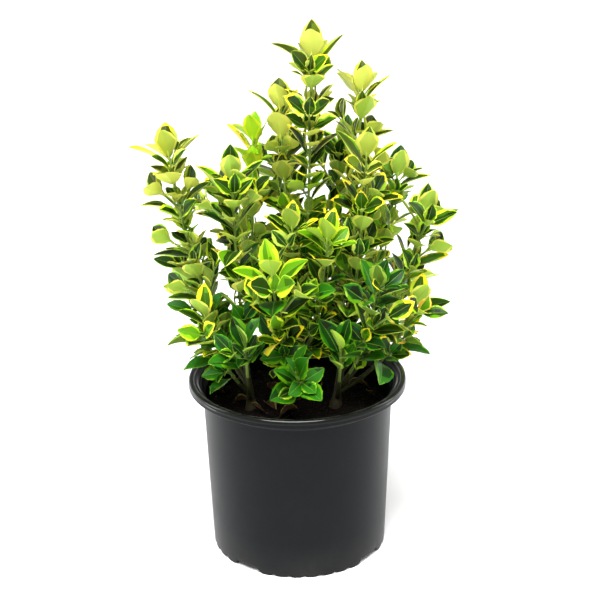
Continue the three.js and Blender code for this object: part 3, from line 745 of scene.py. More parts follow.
def half_width(length, along):
    blade = np.clip((along - stalk_share) / (1 - stalk_share), 0, 1)
    swell = np.maximum(0, np.sin(np.pi * blade ** shape_power)) ** shape_fullness
    return 0.5 * leaf_aspect * length * swell


class Blades:
    """One leaf or many as arrays: each has its root, its three directions and its form."""

    fields = ("root", "forward", "side", "normal", "length", "bend", "fold")

    def __init__(self, **arrays):
        self.__dict__.update(arrays)

    @classmethod
    def one(cls, root, heading, outward, opening, length, bend, fold):
        angle = math.radians(opening)
        forward = heading * math.cos(angle) + outward * math.sin(angle)
        normal = unit(heading - forward * (heading @ forward))
        values = (root, forward, np.cross(normal, forward), normal, length, bend, fold)
        return cls(**{field: np.array([value]) for field, value in zip(cls.fields, values)})

    @classmethod
    def several(cls, leaves):
        arrays = {field: [getattr(leaf, field) for leaf in leaves] for field in cls.fields}
        return cls(**{field: np.concatenate(values) for field, values in arrays.items()})

    def rise(self, along, across):
        return self.bend * self.length * along ** 2 + self.fold * np.abs(across)

    def at(self, along, across):
        """Points of every blade at one share of its length and one share of its half width."""
        across = across * half_width(self.length, along)
        rise = self.rise(along, across)
        return (self.root + self.forward * (along * self.length)[:, None]
                + self.side * across[:, None] + self.normal * rise[:, None])

    def edge(self):
        low, high = shoulders
        places = ((low, -1), (high, -1), (1, 0), (high, 1), (low, 1))
        return [self.at(along, across) for along, across in places]

    def lines(self):
        """The starts and ends of the lines that stand for each blade: its edge and midrib."""
        start, centre, tip = self.at(free_from, 0), self.at(leaf_centre, 0), self.at(1, 0)
        loop = [start, *self.edge(), start]
        starts = np.concatenate([*loop[:-1], start, centre])
        return starts, np.concatenate([*loop[1:], centre, tip])

    def samples(self):
        across = (-1, 0, 1)
        spots = [self.at(along, share) for along in sample_shares for share in across]
        return np.concatenate([self.at(1, 0), *spots])

    def place(self, points):
        """Where each point lies beside each blade: along, across and above it."""
        offset = points[:, None, :] - self.root
        along = (offset * self.forward).sum(2) / self.length
        across = (offset * self.side).sum(2)
        return along, across, (offset * self.normal).sum(2) - self.rise(along, across)

    def pierced(self, starts, ends):
        """Whether any of the lines goes through any blade, or all but does."""
        along_a, across_a, above_a = self.place(starts)
        along_b, across_b, above_b = self.place(ends)
        near = np.minimum(np.abs(above_a), np.abs(above_b)) <= blade_margin
        with np.errstate(all="ignore"):
            share = np.clip(above_a / (above_a - above_b), 0, 1)
        along = along_a + (along_b - along_a) * share
        across = np.abs(across_a + (across_b - across_a) * share)
        inside = across < half_width(self.length, along) + blade_margin
        inside &= (along > 0) & (along < 1)
        return bool(np.any(inside & (near | (above_a * above_b <= 0))))

    def crosses(self, others):
        return others.pierced(*self.lines()) or self.pierced(*others.lines())


def distances(points, path):
    """The distance from each point to each stretch of a path, or of several end to end."""
    starts, ends = path
    way = ends - starts
    offset = points[:, None, :] - starts
    share = np.clip((offset * way).sum(2) / (way ** 2).sum(1), 0, 1)
    return np.linalg.norm(offset - way * share[:, :, None], axis=2)


class Shoot:
    """A leafy shoot: its middle line, the space it keeps to, and what has grown on it."""

    def __init__(self, name, index):
        *_, self.turn, self.size, self.tints = shoots[name]
        self.name, self.index, self.limb = name, index, limbs[name]
        self.start = limb_ends[name] + limb_clearance
        points = self.limb.stretch(self.start, self.limb.length, limb_step)
        self.path = points[:-1], points[1:]
        points = np.vstack([points, points[-1] + self.limb.heading(self.limb.length) * tip_space])
        self.space = points[:-1], points[1:]
        self.leaves, self.tags, self.pairs = [], [], []
        self.twigs, self.side_twigs, self.tufts = [], [], []

    def keep(self, leaves, pair):
        self.leaves += leaves
        self.tags += [pair] * len(leaves)

    def frame_at(self, along):
        heading = self.limb.heading(along)
        first = unit(np.array([1, 0, 0]) - heading * heading[0])
        turn = math.radians(self.turn)
        across = first * math.cos(turn) + np.cross(heading, first) * math.sin(turn)
        return self.limb.point(along), heading, across, np.cross(heading, across)


grown = [Shoot(name, index) for index, name in enumerate(shoots)]
space_starts = np.concatenate([shoot.space[0] for shoot in grown])
space_ends = np.concatenate([shoot.space[1] for shoot in grown])
space_first = np.cumsum([0] + [len(shoot.space[0]) for shoot in grown])[:-1]


def with_runs(seed):
    """Every shoot with a seeded run of numbers of its own."""
    return [(shoot, numbers_from(seed + shoot.index * seed_step)) for shoot in grown]


def is_own_space(points, shoot):
    least = np.minimum.reduceat(distances(points, (space_starts, space_ends)), space_first, axis=1)
    own = least[:, shoot.index] + space_margin
    others = np.delete(least, shoot.index, axis=1)
    return bool(np.all(others > own[:, None]))


spots = []
for name, (stem, leaves_at, *_) in shoots.items():
    end = limb_ends[name]
    if leaves_at is None:
        points = limbs[name].stretch(flare_height / 2, end, limb_step)
        points = np.vstack([limbs[name].start, points])
        radii = [stem_radius(z, i / (len(points) - 1)) for i, z in enumerate(points[:, 2])]
    else:
        points = limbs[name].stretch(0, end, limb_step)
        radii = np.linspace(bough_root_radius, bough_tip_radius, len(points))
    line = np.column_stack([points, radii])
    for near, far in zip(line, line[1:]):
        count = math.ceil(np.linalg.norm((far - near)[:3]) / spot_step)
        share = np.linspace(0, 1, count + 1)[:, None]
        spots.append(near * (1 - share) + far * share)
spots = np.concatenate(spots)
spot_points, spot_radii = spots[:, :3], spots[:, 3]


def is_clear_of_limbs(points):
    gaps = np.linalg.norm(points[:, None, :] - spot_points, axis=2)
    return bool(np.all(gaps > spot_radii + limb_margin))


def touches_limb(leaf, own_reach=-1):
    """Whether a blade touches a limb, but for what lies within a reach of its own root."""
    margin = spot_radii + limb_margin
    along, across, above = (value[:, 0] for value in leaf.place(spot_points))
    past = margin / leaf.length
    half = half_width(leaf.length, np.clip(along, 0, 1))
    away = np.linalg.norm(spot_points - leaf.root, axis=1) > own_reach
    beside = (along > -past) & (along < 1 + past) & (np.abs(across) < half + margin)
    return bool(np.any(away & beside & (np.abs(above) < margin)))


def is_clear_of_pot(points):
    radius = np.hypot(points[:, 0], points[:, 1])
    inside = radius < inner_wall(soil_height) - rim_margin
    high = np.where(inside, points[:, 2] > soil_height + soil_margin,
                    (radius > rim_radius + rim_margin) | (points[:, 2] > pot_height + rim_margin))
    return bool(np.all(high))


def is_near(leaf, path):
    """Whether a blade's outer points come too near the middle line of a twig."""
    outer = np.concatenate([leaf.at(leaf_centre, 0), *leaf.edge()[1:4]])
    return bool(np.any(distances(outer, path) <= twig_margin))


def leaf_fits(leaf, shoot):
    if shoot.leaves and leaf.crosses(Blades.several(shoot.leaves)):
        return False
    if is_near(leaf, shoot.path) or touches_limb(leaf):
        return False
    if shoot.twigs and leaf.pierced(*(np.array(end) for end in zip(*shoot.twigs))):
        return False
    samples = leaf.samples()
    return is_clear_of_pot(samples) and is_own_space(samples, shoot)


def between(low_high, share):
    return low_high[0] + (low_high[1] - low_high[0]) * share


def around(run, middle, spread):
    return middle * (1 + spread * (2 * next(run) - 1))


def side_direction(frame, side):
    _, _, across, up = frame
    return (across, up)[1 - side % 2] * (-1 if side in (0, 3) else 1)


def grow_pair(shoot, run, frame, sides, opening, length, fits=leaf_fits):
    """The leaves of a pair on two opposite sides of a twig, each as it first fits."""
    centre, heading, _, _ = frame
    leaves = []
    for side in sides:
        swing = math.radians(leaf_swing * (2 * next(run) - 1))
        outward = turned(side_direction(frame, side), heading, swing)
        lean = around(run, opening, opening_spread)
        size = around(run, length, length_spread)
        form = between(leaf_bends, next(run)), between(leaf_folds, next(run))
        for aside, opening_share, length_share in leaf_tries:
            aim = turned(outward, heading, math.radians(aside))
            leaf = Blades.one(
                centre, heading, aim, lean * opening_share, size * length_share, *form)
            if fits(leaf, shoot):
                leaves.append(leaf)
                break
    return leaves


def twig_from(frame, side, opening, length):
    """A short twig in an axil: its root, the line that stands for it and the frame at its tip."""
    root = frame[0] + frame[1] * collar_height
    aim = Blades.one(root, frame[1], side_direction(frame, side), opening, length, 0.0, 0.0)
    tip = (aim.at(1, 0)[0], aim.forward[0], aim.side[0], aim.normal[0])
    return root, (aim.at(free_from, 0)[0], tip[0]), tip


def grow_side_twig(shoot, run, frame, side):
    """A short twig in the axil of a leaf, with a pair of leaves near its tip."""
    length = between(side_twig_lengths, next(run))
    opening = around(run, side_twig_opening, side_twig_spread)
    root, line, tip = twig_from(frame, side, opening, length)
    size = leaf_length * shoot.size * side_leaf_size
    leaves = grow_pair(shoot, run, tip, (1, 3), side_leaf_opening, size)
    ends = np.array(line)
    if not leaves or not is_clear_of_limbs(ends) or not is_clear_of_pot(ends):
        return None
    is_crossed = shoot.leaves and Blades.several(shoot.leaves).pierced(ends[:1], ends[1:])
    if is_crossed or not is_own_space(ends, shoot):
        return None
    return root, tip, line, leaves


for shoot, run in with_runs(first_seed):
    along = shoot.limb.length - collar_height
    pair = 0
    while along > shoot.start + foot_space:
        frame_here = shoot.frame_at(along)
        sides = crossed_sides[pair % 2]
        size = leaf_length * shoot.size * pair_sizes[min(pair, len(pair_sizes) - 1)]
        opening = pair_openings[min(pair, len(pair_openings) - 1)]
        shoot.keep(grow_pair(shoot, run, frame_here, sides, opening, size), pair)
        for side in sides:
            grows = next(run) < side_twig_chance and pair >= side_twig_from_pair
            twig = grow_side_twig(shoot, run, frame_here, side)
            if grows and twig:
                root, tip, line, leaves = twig
                shoot.twigs.append(line)
                shoot.side_twigs.append((root, tip, pair))
                shoot.keep(leaves, pair)
        shoot.pairs.append((along, sides, pair))
        spacing = pair_spacings[min(pair, len(pair_spacings) - 1)]
        along -= around(run, spacing, spacing_spread)
        pair += 1

# ----------------------------------------
# Finer growth: the short twigs and small leaves that the solid model leaves out. A pair of small
# leaves crosses the pair at every tip, and a tuft of them stands in each axil that has no side
# twig. Each is kept clear of everything that has already grown.

# The sides, the opening and the share of the leaf length of the pairs of small leaves
bud_pair = ((2, 0), 11, 0.42)
end_pair = ((2, 0), 24, 0.5)
tuft_pairs = (((1, 3), 48, 0.66), ((2, 0), 48 * 0.6, 0.66, 0.75))
low_opening = 72
low_size = 0.94
between_opening = 58
between_size = 0.62
tuft_lengths = (4, 10)
tuft_opening = 30
tuft_chance = 0.9
tuft_from_pair = 1
between_from_pair = 1
low_spacing = 15
lowest_leaf = 160
lowest_front_leaf = 186
front_tips = -20
near_reach = 34
own_limb_reach = 7
twig_reach = 12
fine_seed = 90001

everywhere = [leaf for shoot in grown for leaf in shoot.leaves]
middles = [leaf.at(leaf_centre, 0)[0] for leaf in everywhere]
twig_lines = [np.array(line) for shoot in grown for line in shoot.twigs]
main_paths = tuple(np.concatenate([shoot.path[end] for shoot in grown]) for end in (0, 1))


def neighbours(spot):
    near = np.flatnonzero(np.linalg.norm(np.array(middles) - spot, axis=1) < near_reach)
    return Blades.several([everywhere[i] for i in near]) if len(near) else None


def fine_leaf_fits(leaf, shoot):
    """Whether a leaf of the finer growth clears all leaves, twigs, limbs and the pot."""
    others = neighbours(leaf.at(leaf_centre, 0)[0])
    if others and leaf.crosses(others) or is_near(leaf, main_paths):
        return False
    lines = np.array(twig_lines)
    if leaf.pierced(lines[:, 0], lines[:, 1]) or touches_limb(leaf, own_limb_reach):
        return False
    return is_clear_of_pot(leaf.samples())


def add_leaves(shoot, run, frame, pair, *whorls):
    """Grows pairs of small leaves, keeps those that fit, and tells whether there are any."""
    leaves = []
    for sides, opening, *shares in whorls:
        size = leaf_length * shoot.size
        for share in shares:
            size *= share
        leaves += grow_pair(shoot, run, frame, sides, opening, size, fine_leaf_fits)
    everywhere.extend(leaves)
    middles.extend(leaf.at(leaf_centre, 0)[0] for leaf in leaves)
    shoot.keep(leaves, pair)
    return bool(leaves)


for shoot, run in with_runs(fine_seed):
    end = shoot.frame_at(shoot.limb.length)
    add_leaves(shoot, run, end, 0, bud_pair)
    for _, tip, pair in shoot.side_twigs:
        add_leaves(shoot, run, tip, pair, end_pair)

# The pairs of leaves go on down the boughs, as far as the shade and the gardener left them
for shoot, run in with_runs(fine_seed * 2):
    along, sides, pair = shoot.pairs[-1]
    lowest = lowest_front_leaf if shoot.limb.tip[1] < front_tips else lowest_leaf
    heights = shoot.limb.at(shoot.limb.shares)[:, 2]
    lowest_along = max(np.interp(lowest, heights, shoot.limb.lengths), low_spacing)
    along -= around(run, low_spacing, spacing_spread)
    while along > lowest_along:
        pair += 1
        sides = crossed_sides[pair % 2]
        add_leaves(shoot, run, shoot.frame_at(along), pair, (sides, low_opening, low_size))
        shoot.pairs.append((along, sides, pair))
        along -= around(run, low_spacing, spacing_spread)

for shoot, run in with_runs(fine_seed * 3):
    for along, sides, pair in shoot.pairs:
        frame_here = shoot.frame_at(along)
        for side in sides:
            length = between(tuft_lengths, next(run))
            is_chosen = next(run) < tuft_chance and pair >= tuft_from_pair
            root, line, tip = twig_from(frame_here, side, tuft_opening, length)
            is_free = all(np.linalg.norm(tip[0] - other[0]) >= twig_reach
                          for _, other, _ in shoot.side_twigs)
            if is_chosen and is_free and add_leaves(shoot, run, tip, pair, *tuft_pairs):
                shoot.tufts.append((root, tip))
                twig_lines.append(np.array(line))

# Small leaves also stand on the bare wood between two pairs, turned half way between their sides
for shoot, run in with_runs(fine_seed * 5):
    for (along, _, pair), (below, _, _) in zip(shoot.pairs, shoot.pairs[1:]):
        centre, heading, *directions = shoot.frame_at((along + below) / 2)
        half_turned = centre, heading, *(turned(way, heading, math.pi / 4) for way in directions)
        if pair >= between_from_pair:
            for sides in crossed_sides:
                add_leaves(shoot, run, half_turned, pair, (sides, between_opening, between_size))

# ----------------------------------------
# Twigs: fresh green wood, four-angled when young but drawn round here, with a swelling under every
# pair of leaves and a pointed bud at every tip. The side twigs and the tufts' short stalks grow
# out of them.

twig_bark = bark_material("twig_bark", "52662a", "86a046", "3f5222")
twig_slimness = 0.78
twig_sink = 0.9
scar_swell = 0.28
scar_reach = 1.6
fine_twig_radius = 0.6
bud_steps = (0.6, 1.8, 3, bud_height)
bud_radii = (1, 1.15, 0.7, 0.1)
small_bud_steps = (0.9, 1.8, 3)
small_bud_shares = (1.25, 0.9, 1.1, 0.8)
bud_point = 0.1


def sprig(root, tip, radius):
    """The line and the radii of a short twig, which tapers to a bud."""
    way = tip[0] - root
    count = max(4, round(np.linalg.norm(way) / 2))
    points = root + way * np.linspace(0, 1, count)[:, None]
    bud = np.array([tip[0] + tip[1] * step for step in small_bud_steps])
    foot, neck, *swollen = (radius * share for share in small_bud_shares)
    radii = np.append(np.linspace(foot, neck, count), (*swollen, bud_point))
    return np.vstack([points, bud]), radii


green_lines = []
for shoot in grown:
    end = shoot.limb.length
    along = np.arange(shoot.start - twig_sink, end, line_step)
    points = shoot.limb.point(along)
    radii = twig_slimness * np.interp(
        along, [shoot.start, end], [twig_root_radius, twig_tip_radius])
    for place_of_pair, _, _ in shoot.pairs:
        radii = radii * (1 + scar_swell * np.exp(-((along - place_of_pair) / scar_reach) ** 2))
    heading = shoot.limb.heading(end)
    bud = np.array([shoot.limb.point(end) + heading * step for step in bud_steps])
    green_lines.append((np.vstack([points, bud]), np.append(radii, bud_radii)))
    green_lines += [sprig(root, tip, side_twig_radius) for root, tip, _ in shoot.side_twigs]
    green_lines += [sprig(root, tip, fine_twig_radius) for root, tip in shoot.tufts]
twigs = grow(new_paths("twigs", green_lines), bark_tree,
             Sides=7, Step=0.002, Relief=0.00012, Finish=twig_bark)
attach(twigs, "root")

# ----------------------------------------
# Leaves: thick, glossy, saw-edged blades on short stalks, folded up along the midrib. Each is dark
# in the middle, with a margin that is lime on some and yellow on others, and pale beneath. The
# colours are plain, and each leaf gets its own widths of margin and its own flecks. The low leaves
# are darker, and dimmer beneath, as painted shade, and the undersides at the tips are partly
# lighter as painted light.

leaf_rows = np.array([0.2, 0.37, 0.55, 0.73, 0.89])
tooth_rows = np.array([0.285, 0.46, 0.64, 0.81, 0.955])
lower_rows = (0, 2, 4)
outline_along = (0.1, 0.16, 0.3, 0.45, 0.57, 0.7, 0.81, 0.89, 0.95, 1)
outline_shares = (0.04, 0.22, 0.66, 0.93, 1, 0.9, 0.69, 0.44, 0.22, 0)
blade_widths = (0.8, 1.06)
tooth_depth = 0.3
leaf_skin = 0.36
rib_half = 0.26
rib_taper = 1.2
edge_inset = 0.1
edge_softness = 0.28
edge_wave = 0.5
arch_from = 0.35
arches = (-0.34, -0.02)
wave_turns = 8
wave_shift = 1.4
margin_shares = (0.07, 0.5)
margin_at_base = 0.45
thin_margins = 2.4
margin_scatter = (0.5, 1.5)
feather_shares = (0.06, 0.36)
feather_scatter = (0.2, 1.9)
stalk_radius = 0.62
stalk_rings_at = ((0.0, 1.2), (0.13, 1))
stalk_end = 0.34
# The shade green and the darker underside green go to the low leaves: painted shade
leaf_colours = {
    "deep": "0f1c03", "dark": "1d3805", "green": "386208", "mid": "568c0c", "bright": "80b814",
    "lime": "a0ca22", "edge": "ccde2c", "yellow": "f6e024", "straw": "dede5e", "pale_in_shade": "5e7c26",
    # The young underside colour goes to the top pairs: paler as young leaves are, and lighter
    # still as painted light
    "pale": "9ebe45", "young": "d2dc5c", "amber": "d8a438", "rib": "689030", "fern": "25640e",
    "shade": "12380a", "olive": "5c7210", "drab": "36460a", "sage": "b0c24a",
}
# Each tint's colours: the margin, the feathered part next to it, the middle, the rib, the margin
# beneath and the middle beneath, and then what some of the margin, the feathered part and the
# middle have instead
tints = {
    "v": ("lime", "green", "dark", "rib", "straw", "pale", "edge", "mid", "deep"),
    "w": ("sage", "mid", "dark", "rib", "straw", "pale", "lime", "green", "green"),
    "u": ("sage", "olive", "drab", "rib", "straw", "sage", "edge", "mid", "dark"),
    "q": ("straw", "olive", "drab", "rib", "straw", "young", "edge", "sage", "olive"),
    "p": ("straw", "mid", "dark", "rib", "straw", "young", "edge", "bright", "green"),
    "l": ("lime", "lime", "bright", "lime", "edge", "lime", "edge", "bright", "lime"),
    "c": ("edge", "lime", "mid", "lime", "edge", "pale", "lime", "lime", "bright"),
    "b": ("edge", "bright", "mid", "rib", "lime", "pale", "lime", "mid", "green"),
    # d and g go to the low pairs: their darker greens and darker undersides are painted shade
    "d": ("mid", "fern", "shade", "rib", "pale", "pale_in_shade", "fern", "shade", "deep"),
    "g": ("mid", "fern", "fern", "rib", "pale", "pale_in_shade", "fern", "mid", "shade"),
    "y": ("yellow", "yellow", "yellow", "straw", "yellow", "yellow", "edge", "edge", "edge"),
    "t": ("edge", "lime", "green", "rib", "straw", "pale", "yellow", "yellow", "mid"),
    "o": ("amber", "straw", "mid", "rib", "straw", "pale", "yellow", "yellow", "bright"),
}
swap_shares = (0.5, 0.6, 0.35)
gold_tip_share = 0.15
stray_share = 0.3
stray_tints = {
    "v": "vvwbdt", "w": "vbdg", "p": "pvwt", "u": "uqvt", "q": "qupt", "l": "lc", "b": "wcg",
    "d": "gvd", "g": "dgw", "o": "v",
}
# Single leaves that stand out, by their number on their shoot
odd_leaves = {
    "far_left": {2: "y", 27: "t"}, "left_front": {2: "t", 16: "o"}, "left_lime": {2: "y", 26: "t"},
    "low_left": {0: "t", 5: "t"}, "upper_left": {3: "t"}, "top": {10: "t", 12: "t"},
    "right_top": {3: "t", 44: "y"}, "right_front": {23: "t"}, "right_back": {3: "t", 24: "o"},
    "far_right": {1: "t", 9: "t"}, "front": {0: "c", 1: "c", 13: "t", 40: "y", 43: "t"},
    "front_centre": {0: "t", 1: "c"}, "front_right": {11: "o", 26: "t", 14: "g"},
    "low_front_right": {1: "b"}, "low_front": dict.fromkeys(range(12), "g"),
}


def plain_materials(colours, roughness, gloss):
    """A material of one plain colour for each name."""
    return [
        new_material("leaf_" + name, base_color=linear(shade), roughness=roughness,
                     specular_ior_level=gloss)[0]
        for name, shade in colours.items()]


leaf_materials = plain_materials(leaf_colours, roughness=0.42, gloss=0.16)
colour_index = {name: index for index, name in enumerate(leaf_colours)}

# One leaf's faces, by its vertices: 0 the base, 1 the tip, then eight across each row, the teeth
# on the left and on the right, three across each row beneath, and the stalk
rows = len(leaf_rows)
across_row = [[2 + 8 * row + column for column in range(8)] for row in range(rows)]
teeth = [[2 + (8 + side) * rows + row for row in range(rows)] for side in (0, 1)]
beneath = [[2 + 10 * rows + 3 * row + column for column in range(3)]
           for row in range(len(lower_rows))]
stalk = [2 + 10 * rows + 3 * len(lower_rows) + corner for corner in range(7)]
leaf_template = []


def edge_run(side, near, far):
    """The vertices of the outline between two rows, on the left or on the right."""
    run = [teeth[side][near]]
    for row in range(near + 1, far):
        run += [across_row[row][7 * side], teeth[side][row]]
    return run


def add_blade(across, row_numbers, zones, base_faces, turned_over):
    """One side of the blade: the faces at its base, between its rows and at its tip."""
    last_column = len(zones) - 1
    middle = last_column / 2
    faces = [([0, *(across[0][column] for column in columns)], zone, 0,
              np.mean(columns) - middle - 0.5) for columns, zone in base_faces]
    far_rows = [*across[1:], [1] * len(across[0])]
    far_numbers = [*row_numbers[1:], rows]
    for near, far, near_row, far_row in zip(across, far_rows, row_numbers, far_numbers):
        for column, zone in enumerate(zones):
            left = edge_run(0, near_row, far_row) if column == 0 else []
            right = edge_run(1, near_row, far_row)[::-1] if column == last_column else []
            face = [near[column], *left, far[column], far[column + 1], *right, near[column + 1]]
            faces.append((list(dict.fromkeys(face)), zone, far_row, column - middle))
    for face, zone, band, side in faces:
        leaf_template.append((face[::-1] if turned_over else face, zone, band, np.sign(side)))


upper_base = (((0, 1, 2, 3), 2), ((3, 4), 3), ((4, 5, 6, 7), 2))
add_blade(across_row, range(rows), (0, 1, 2, 3, 2, 1, 0), upper_base, False)
lower = [[across_row[row][0], *under, across_row[row][7]]
         for row, under in zip(lower_rows, beneath)]
add_blade(lower, lower_rows, (4, 5, 5, 4), (((0, 1, 2), 5), ((2, 3, 4), 5)), True)
for corner in range(3):
    beside = (corner + 1) % 3
    side = [stalk[corner], stalk[beside], stalk[3 + beside], stalk[3 + corner]]
    leaf_template += [(side, 5, 0, 0), ([*side[:1:-1], stalk[6]], 5, 0, 0)]
leaf_faces, *face_marks = zip(*leaf_template)
leaf_zones, leaf_bands, leaf_sides = map(np.array, face_marks)
is_golden_part = (leaf_bands == rows) & (leaf_zones < 3)
is_golden_part |= (leaf_bands == rows - 1) & (leaf_zones < 2)
left_edge, right_edge = (edge_run(side, 0, rows) for side in (0, 1))
outline = [0, across_row[0][0], *left_edge, 1, *right_edge[::-1], across_row[0][7], 0]
keel = [0, *(under[1] for under in beneath), 1]
sharp_pairs = {tuple(sorted(pair)) for line in (outline, keel) for pair in zip(line, line[1:])}


def leaf_points(blades, dice):
    """The vertices of every blade, one array row to a leaf."""
    count = len(blades.length)
    length, bend, fold = (value[:, None] for value in (blades.length, blades.bend, blades.fold))
    widest = 0.5 * leaf_aspect * length * dice.uniform(*blade_widths, (count, 1))
    margin_share = [between(margin_shares, dice.random((count, 1)) ** thin_margins)
                    for _ in range(2)]
    feather_share = [dice.uniform(*feather_shares, (count, 1)) for _ in range(2)]
    arch = dice.uniform(*arches, (count, 1))
    wave_phase = dice.uniform(0, 2 * math.pi, (count, 1))

    def blade_half(along):
        return widest * np.interp(along, outline_along, outline_shares)

    def spot(along, across, lift=0.0):
        along, across = np.broadcast_arrays(along, across)
        part = np.minimum(np.abs(across) / np.maximum(blade_half(along), 0.01), 1)
        rise = bend * length * along ** 2 + fold * np.abs(across) * (1 - edge_softness * part)
        rise = rise + arch * length * np.maximum(0, along - arch_from) ** 2
        wave = np.sin(wave_phase + wave_turns * along + wave_shift * np.sign(across))
        rise = rise + edge_wave * part ** 2 * wave + lift
        return (blades.root[:, None] + blades.forward[:, None] * (along * length)[..., None]
                + blades.side[:, None] * across[..., None]
                + blades.normal[:, None] * rise[..., None])

    def on_rib(along, lift):
        return spot(np.full((count, 1), along), np.zeros((count, 1)), lift)

    along = np.broadcast_to(leaf_rows, (count, rows))
    half = blade_half(along)
    tooth_along = np.broadcast_to(tooth_rows, (count, rows))
    tooth_half = blade_half(tooth_along) + tooth_depth
    spread = margin_at_base + along
    inner = [half * (1 - share * spread * dice.uniform(*margin_scatter, (count, rows)))
             for share in margin_share]
    feather = [edge * (1 - share * dice.uniform(*feather_scatter, (count, rows)))
               for edge, share in zip(inner, feather_share)]
    rib = rib_half * (rib_taper - along)
    columns = [-half + edge_inset, -inner[0], -feather[0], -rib,
               rib, feather[1], inner[1], half - edge_inset]
    top = np.stack([spot(along, column) for column in columns], axis=2).reshape(count, -1, 3)
    low = list(lower_rows)
    lower_columns = (-inner[0][:, low], 0 * half[:, low], inner[1][:, low])
    lows = np.stack([spot(along[:, low], column, -leaf_skin) for column in lower_columns], axis=2)
    turns = np.array([0.5, 0.5 + 2 / 3, 0.5 - 2 / 3]) * math.pi
    stalk_rings = []
    for share, widening in stalk_rings_at:
        radius = stalk_radius * widening
        across = np.broadcast_to(np.cos(turns) * radius, (count, 3))
        stalk_rings.append(on_rib(share, -leaf_skin) + blades.side[:, None] * across[..., None]
                           + blades.normal[:, None] * (np.sin(turns) * radius)[None, :, None])
    return np.concatenate([
        on_rib(stalk_share, -leaf_skin / 2), on_rib(1.0, -leaf_skin / 2), top,
        spot(tooth_along, -tooth_half), spot(tooth_along, tooth_half),
        lows.reshape(count, -1, 3), *stalk_rings, on_rib(stalk_end, -leaf_skin * 0.9)], axis=1)


def leaf_colour_numbers(letters, dice):
    """The material of every face of every leaf."""
    table = np.array([[colour_index[name] for name in tints[letter]] for letter in letters])
    numbers = table[:, leaf_zones]
    count = len(letters)
    for zone, share in enumerate(swap_shares):
        for side in (-1, 1):
            begins = dice.integers(0, rows, (count, 1))
            ends = begins + dice.integers(1, rows - 1, (count, 1))
            is_patch = (leaf_bands >= begins) & (leaf_bands < ends)
            is_patch &= (leaf_sides == side) & (leaf_zones == zone)
            chosen = is_patch & (dice.random((count, 1)) < share)
            numbers = np.where(chosen, table[:, 6 + zone][:, None], numbers)
    is_golden = np.array([letter in "vwpuq" for letter in letters])
    is_golden &= dice.random(count) < gold_tip_share
    is_golden |= np.array([letter == "t" for letter in letters])
    return np.where(is_golden[:, None] & is_golden_part, colour_index["yellow"], numbers)


def blades_piece(name, points, numbers, materials):
    """A piece of many blades, with the number of its material for every face."""
    count, each = points.shape[:2]
    faces = [tuple(each * leaf + corner for corner in face)
             for leaf in range(count) for face in leaf_faces]
    piece = new_piece(name, points.reshape(-1, 3), faces, materials)
    piece.data.polygons.foreach_set("material_index", np.ravel(numbers).astype(np.int32))
    return piece


for stem in carried:
    members = [shoot for shoot in grown if shoots[shoot.name][0] == stem]
    dice = np.random.default_rng(first_seed + len(members))
    blades = Blades.several([leaf for shoot in members for leaf in shoot.leaves])
    letters = []
    for shoot in members:
        for number, tag in enumerate(shoot.tags):
            usual = shoot.tints[min(tag, len(shoot.tints) - 1)]
            strays = stray_tints[usual]
            drawn = strays[dice.integers(len(strays))] if dice.random() < stray_share else usual
            letters.append(odd_leaves.get(shoot.name, {}).get(number, drawn))
    points = leaf_points(blades, dice)
    numbers = leaf_colour_numbers(letters, dice)
    leaves = blades_piece("leaves_" + stem, points, numbers, leaf_materials)
    edges = np.empty(2 * len(leaves.data.edges), np.int32)
    leaves.data.edges.foreach_get("vertices", edges)
    edges = np.sort(edges.reshape(-1, 2), axis=1)
    is_sharp = [tuple(sorted(pair)) in sharp_pairs for pair in (edges % points.shape[1]).tolist()]
    sharp = leaves.data.attributes.new("sharp_edge", "BOOLEAN", "EDGE")
    sharp.data.foreach_set("value", is_sharp)
    leaves.data.update()
    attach(leaves, "root")
    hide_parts(*("foliage_" + shoot.name for shoot in members))

# ----------------------------------------
# Fallen leaves: dry blades, tan or brown and curled up, that lie loose on the soil where they
# dropped. They are the same leaves as the living ones, on their backs or faces.

fallen_spots = (
    (-50, 22), (-30, -30), (-22, -14), (-57, 2), (-64, 12), (-8, -34), (-44, -6), (47, 20),
    (58, 2), (-20, 14), (-10, 60), (40, 52), (-44, 48), (16, 26))
fallen_lengths = (11, 20)
fallen_curls = (-0.4, 0.6)
fallen_folds = (0.8, 1.7)
fallen_tilt = 20
fallen_lift = 1.6
fallen_run = numbers_from(fine_seed * 4)
fallen = []
for x, y in fallen_spots:
    spot = np.array([x, y, soil_top(x, y) + fallen_lift])
    turn = 2 * math.pi * next(fallen_run)
    outward = np.array([math.cos(turn), math.sin(turn), 0])
    opening = 90 - fallen_tilt * next(fallen_run)
    length = between(fallen_lengths, next(fallen_run))
    form = between(fallen_curls, next(fallen_run)), between(fallen_folds, next(fallen_run))
    root = spot - outward * length / 2
    fallen.append(Blades.one(root, np.array([0, 0, 1]), outward, opening, length, *form))
points = leaf_points(Blades.several(fallen), np.random.default_rng(fine_seed))
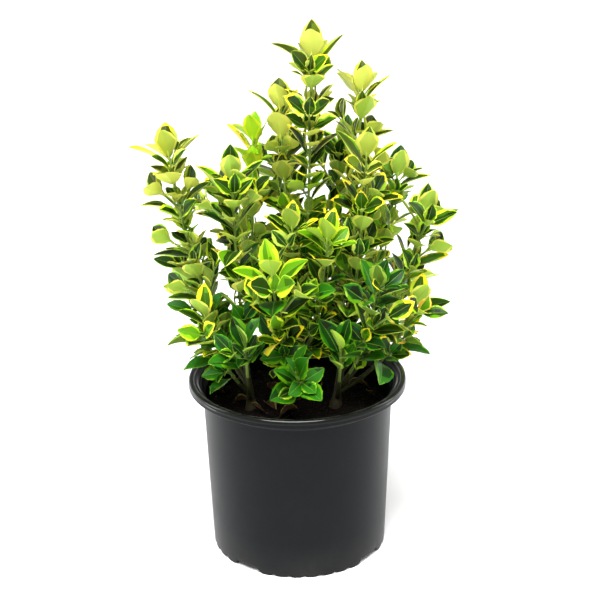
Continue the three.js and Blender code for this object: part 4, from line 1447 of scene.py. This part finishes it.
numbers = (np.arange(len(fallen)) % 4 > 0)[:, None] ^ (leaf_zones == 0)
fallen_leaves = blades_piece("fallen_leaves", points, numbers, plain_materials(
    {"tan": "7c6a3a", "brown": "38281a"}, roughness=0.8, gloss=0.1))
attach(fallen_leaves, "root")

# ----------------------------------------
# Studio: a white floor that runs into a white surround, dimmer overhead, a broad soft light above
# and in front, and one tall soft light at each side, whose edges show in the pot's gloss.

bpy.context.scene.view_settings.view_transform = "Standard"
world = bpy.data.worlds.new("studio")
bpy.context.scene.world = world
world.use_nodes = True
surround = Socket(world.node_tree)
skyward = surround.node("ShaderNodeSeparateXYZ", {}, {0: surround.node("ShaderNodeTexCoord")}, 2)
glow = surround.node("ShaderNodeMapRange", {"interpolation_type": "SMOOTHSTEP"},
                     {"Value": skyward, 1: 0.12, 2: 0.3, 3: 1.1, 4: 0.2})
world.node_tree.links.new(glow.socket, world.node_tree.nodes["Background"].inputs["Color"])
floor_white, start = new_material("studio_white", roughness=0.6, base_color=(0.95, 0.95, 0.95, 1))
floor_reach = 6000
floor_corners = [(floor_reach * x, floor_reach * y, 0)
                 for x, y in ((-1, -1), (1, -1), (1, 1), (-1, 1))]
floor = new_piece("studio_floor", floor_corners, [(0, 1, 2, 3)], [floor_white])
sun = bpy.data.lights.new("high_light", "SUN")
sun.energy, sun.angle = 6.5, math.radians(46)
high_light = placed("high_light", sun)
high_light.rotation_euler = Vector((0.12, 0.8, -1.6)).to_track_quat("-Z", "Y").to_euler()
side_light_height = 1.1
side_light_aim = Vector((0, 0, 0.2))
for name, power, place, width in (
        ("left_light", 5.8, Vector((-1.1, 0.1, 0.5)), 0.35),
        ("right_light", 4.6, Vector((1.1, 0.25, 0.5)), 0.25)):
    light = bpy.data.lights.new(name, "AREA")
    light.shape, light.size, light.size_y = "RECTANGLE", width, side_light_height
    light.energy = power
    lamp = placed(name, light)
    lamp.location = place
    lamp.rotation_euler = (side_light_aim - place).to_track_quat("-Z", "Y").to_euler()
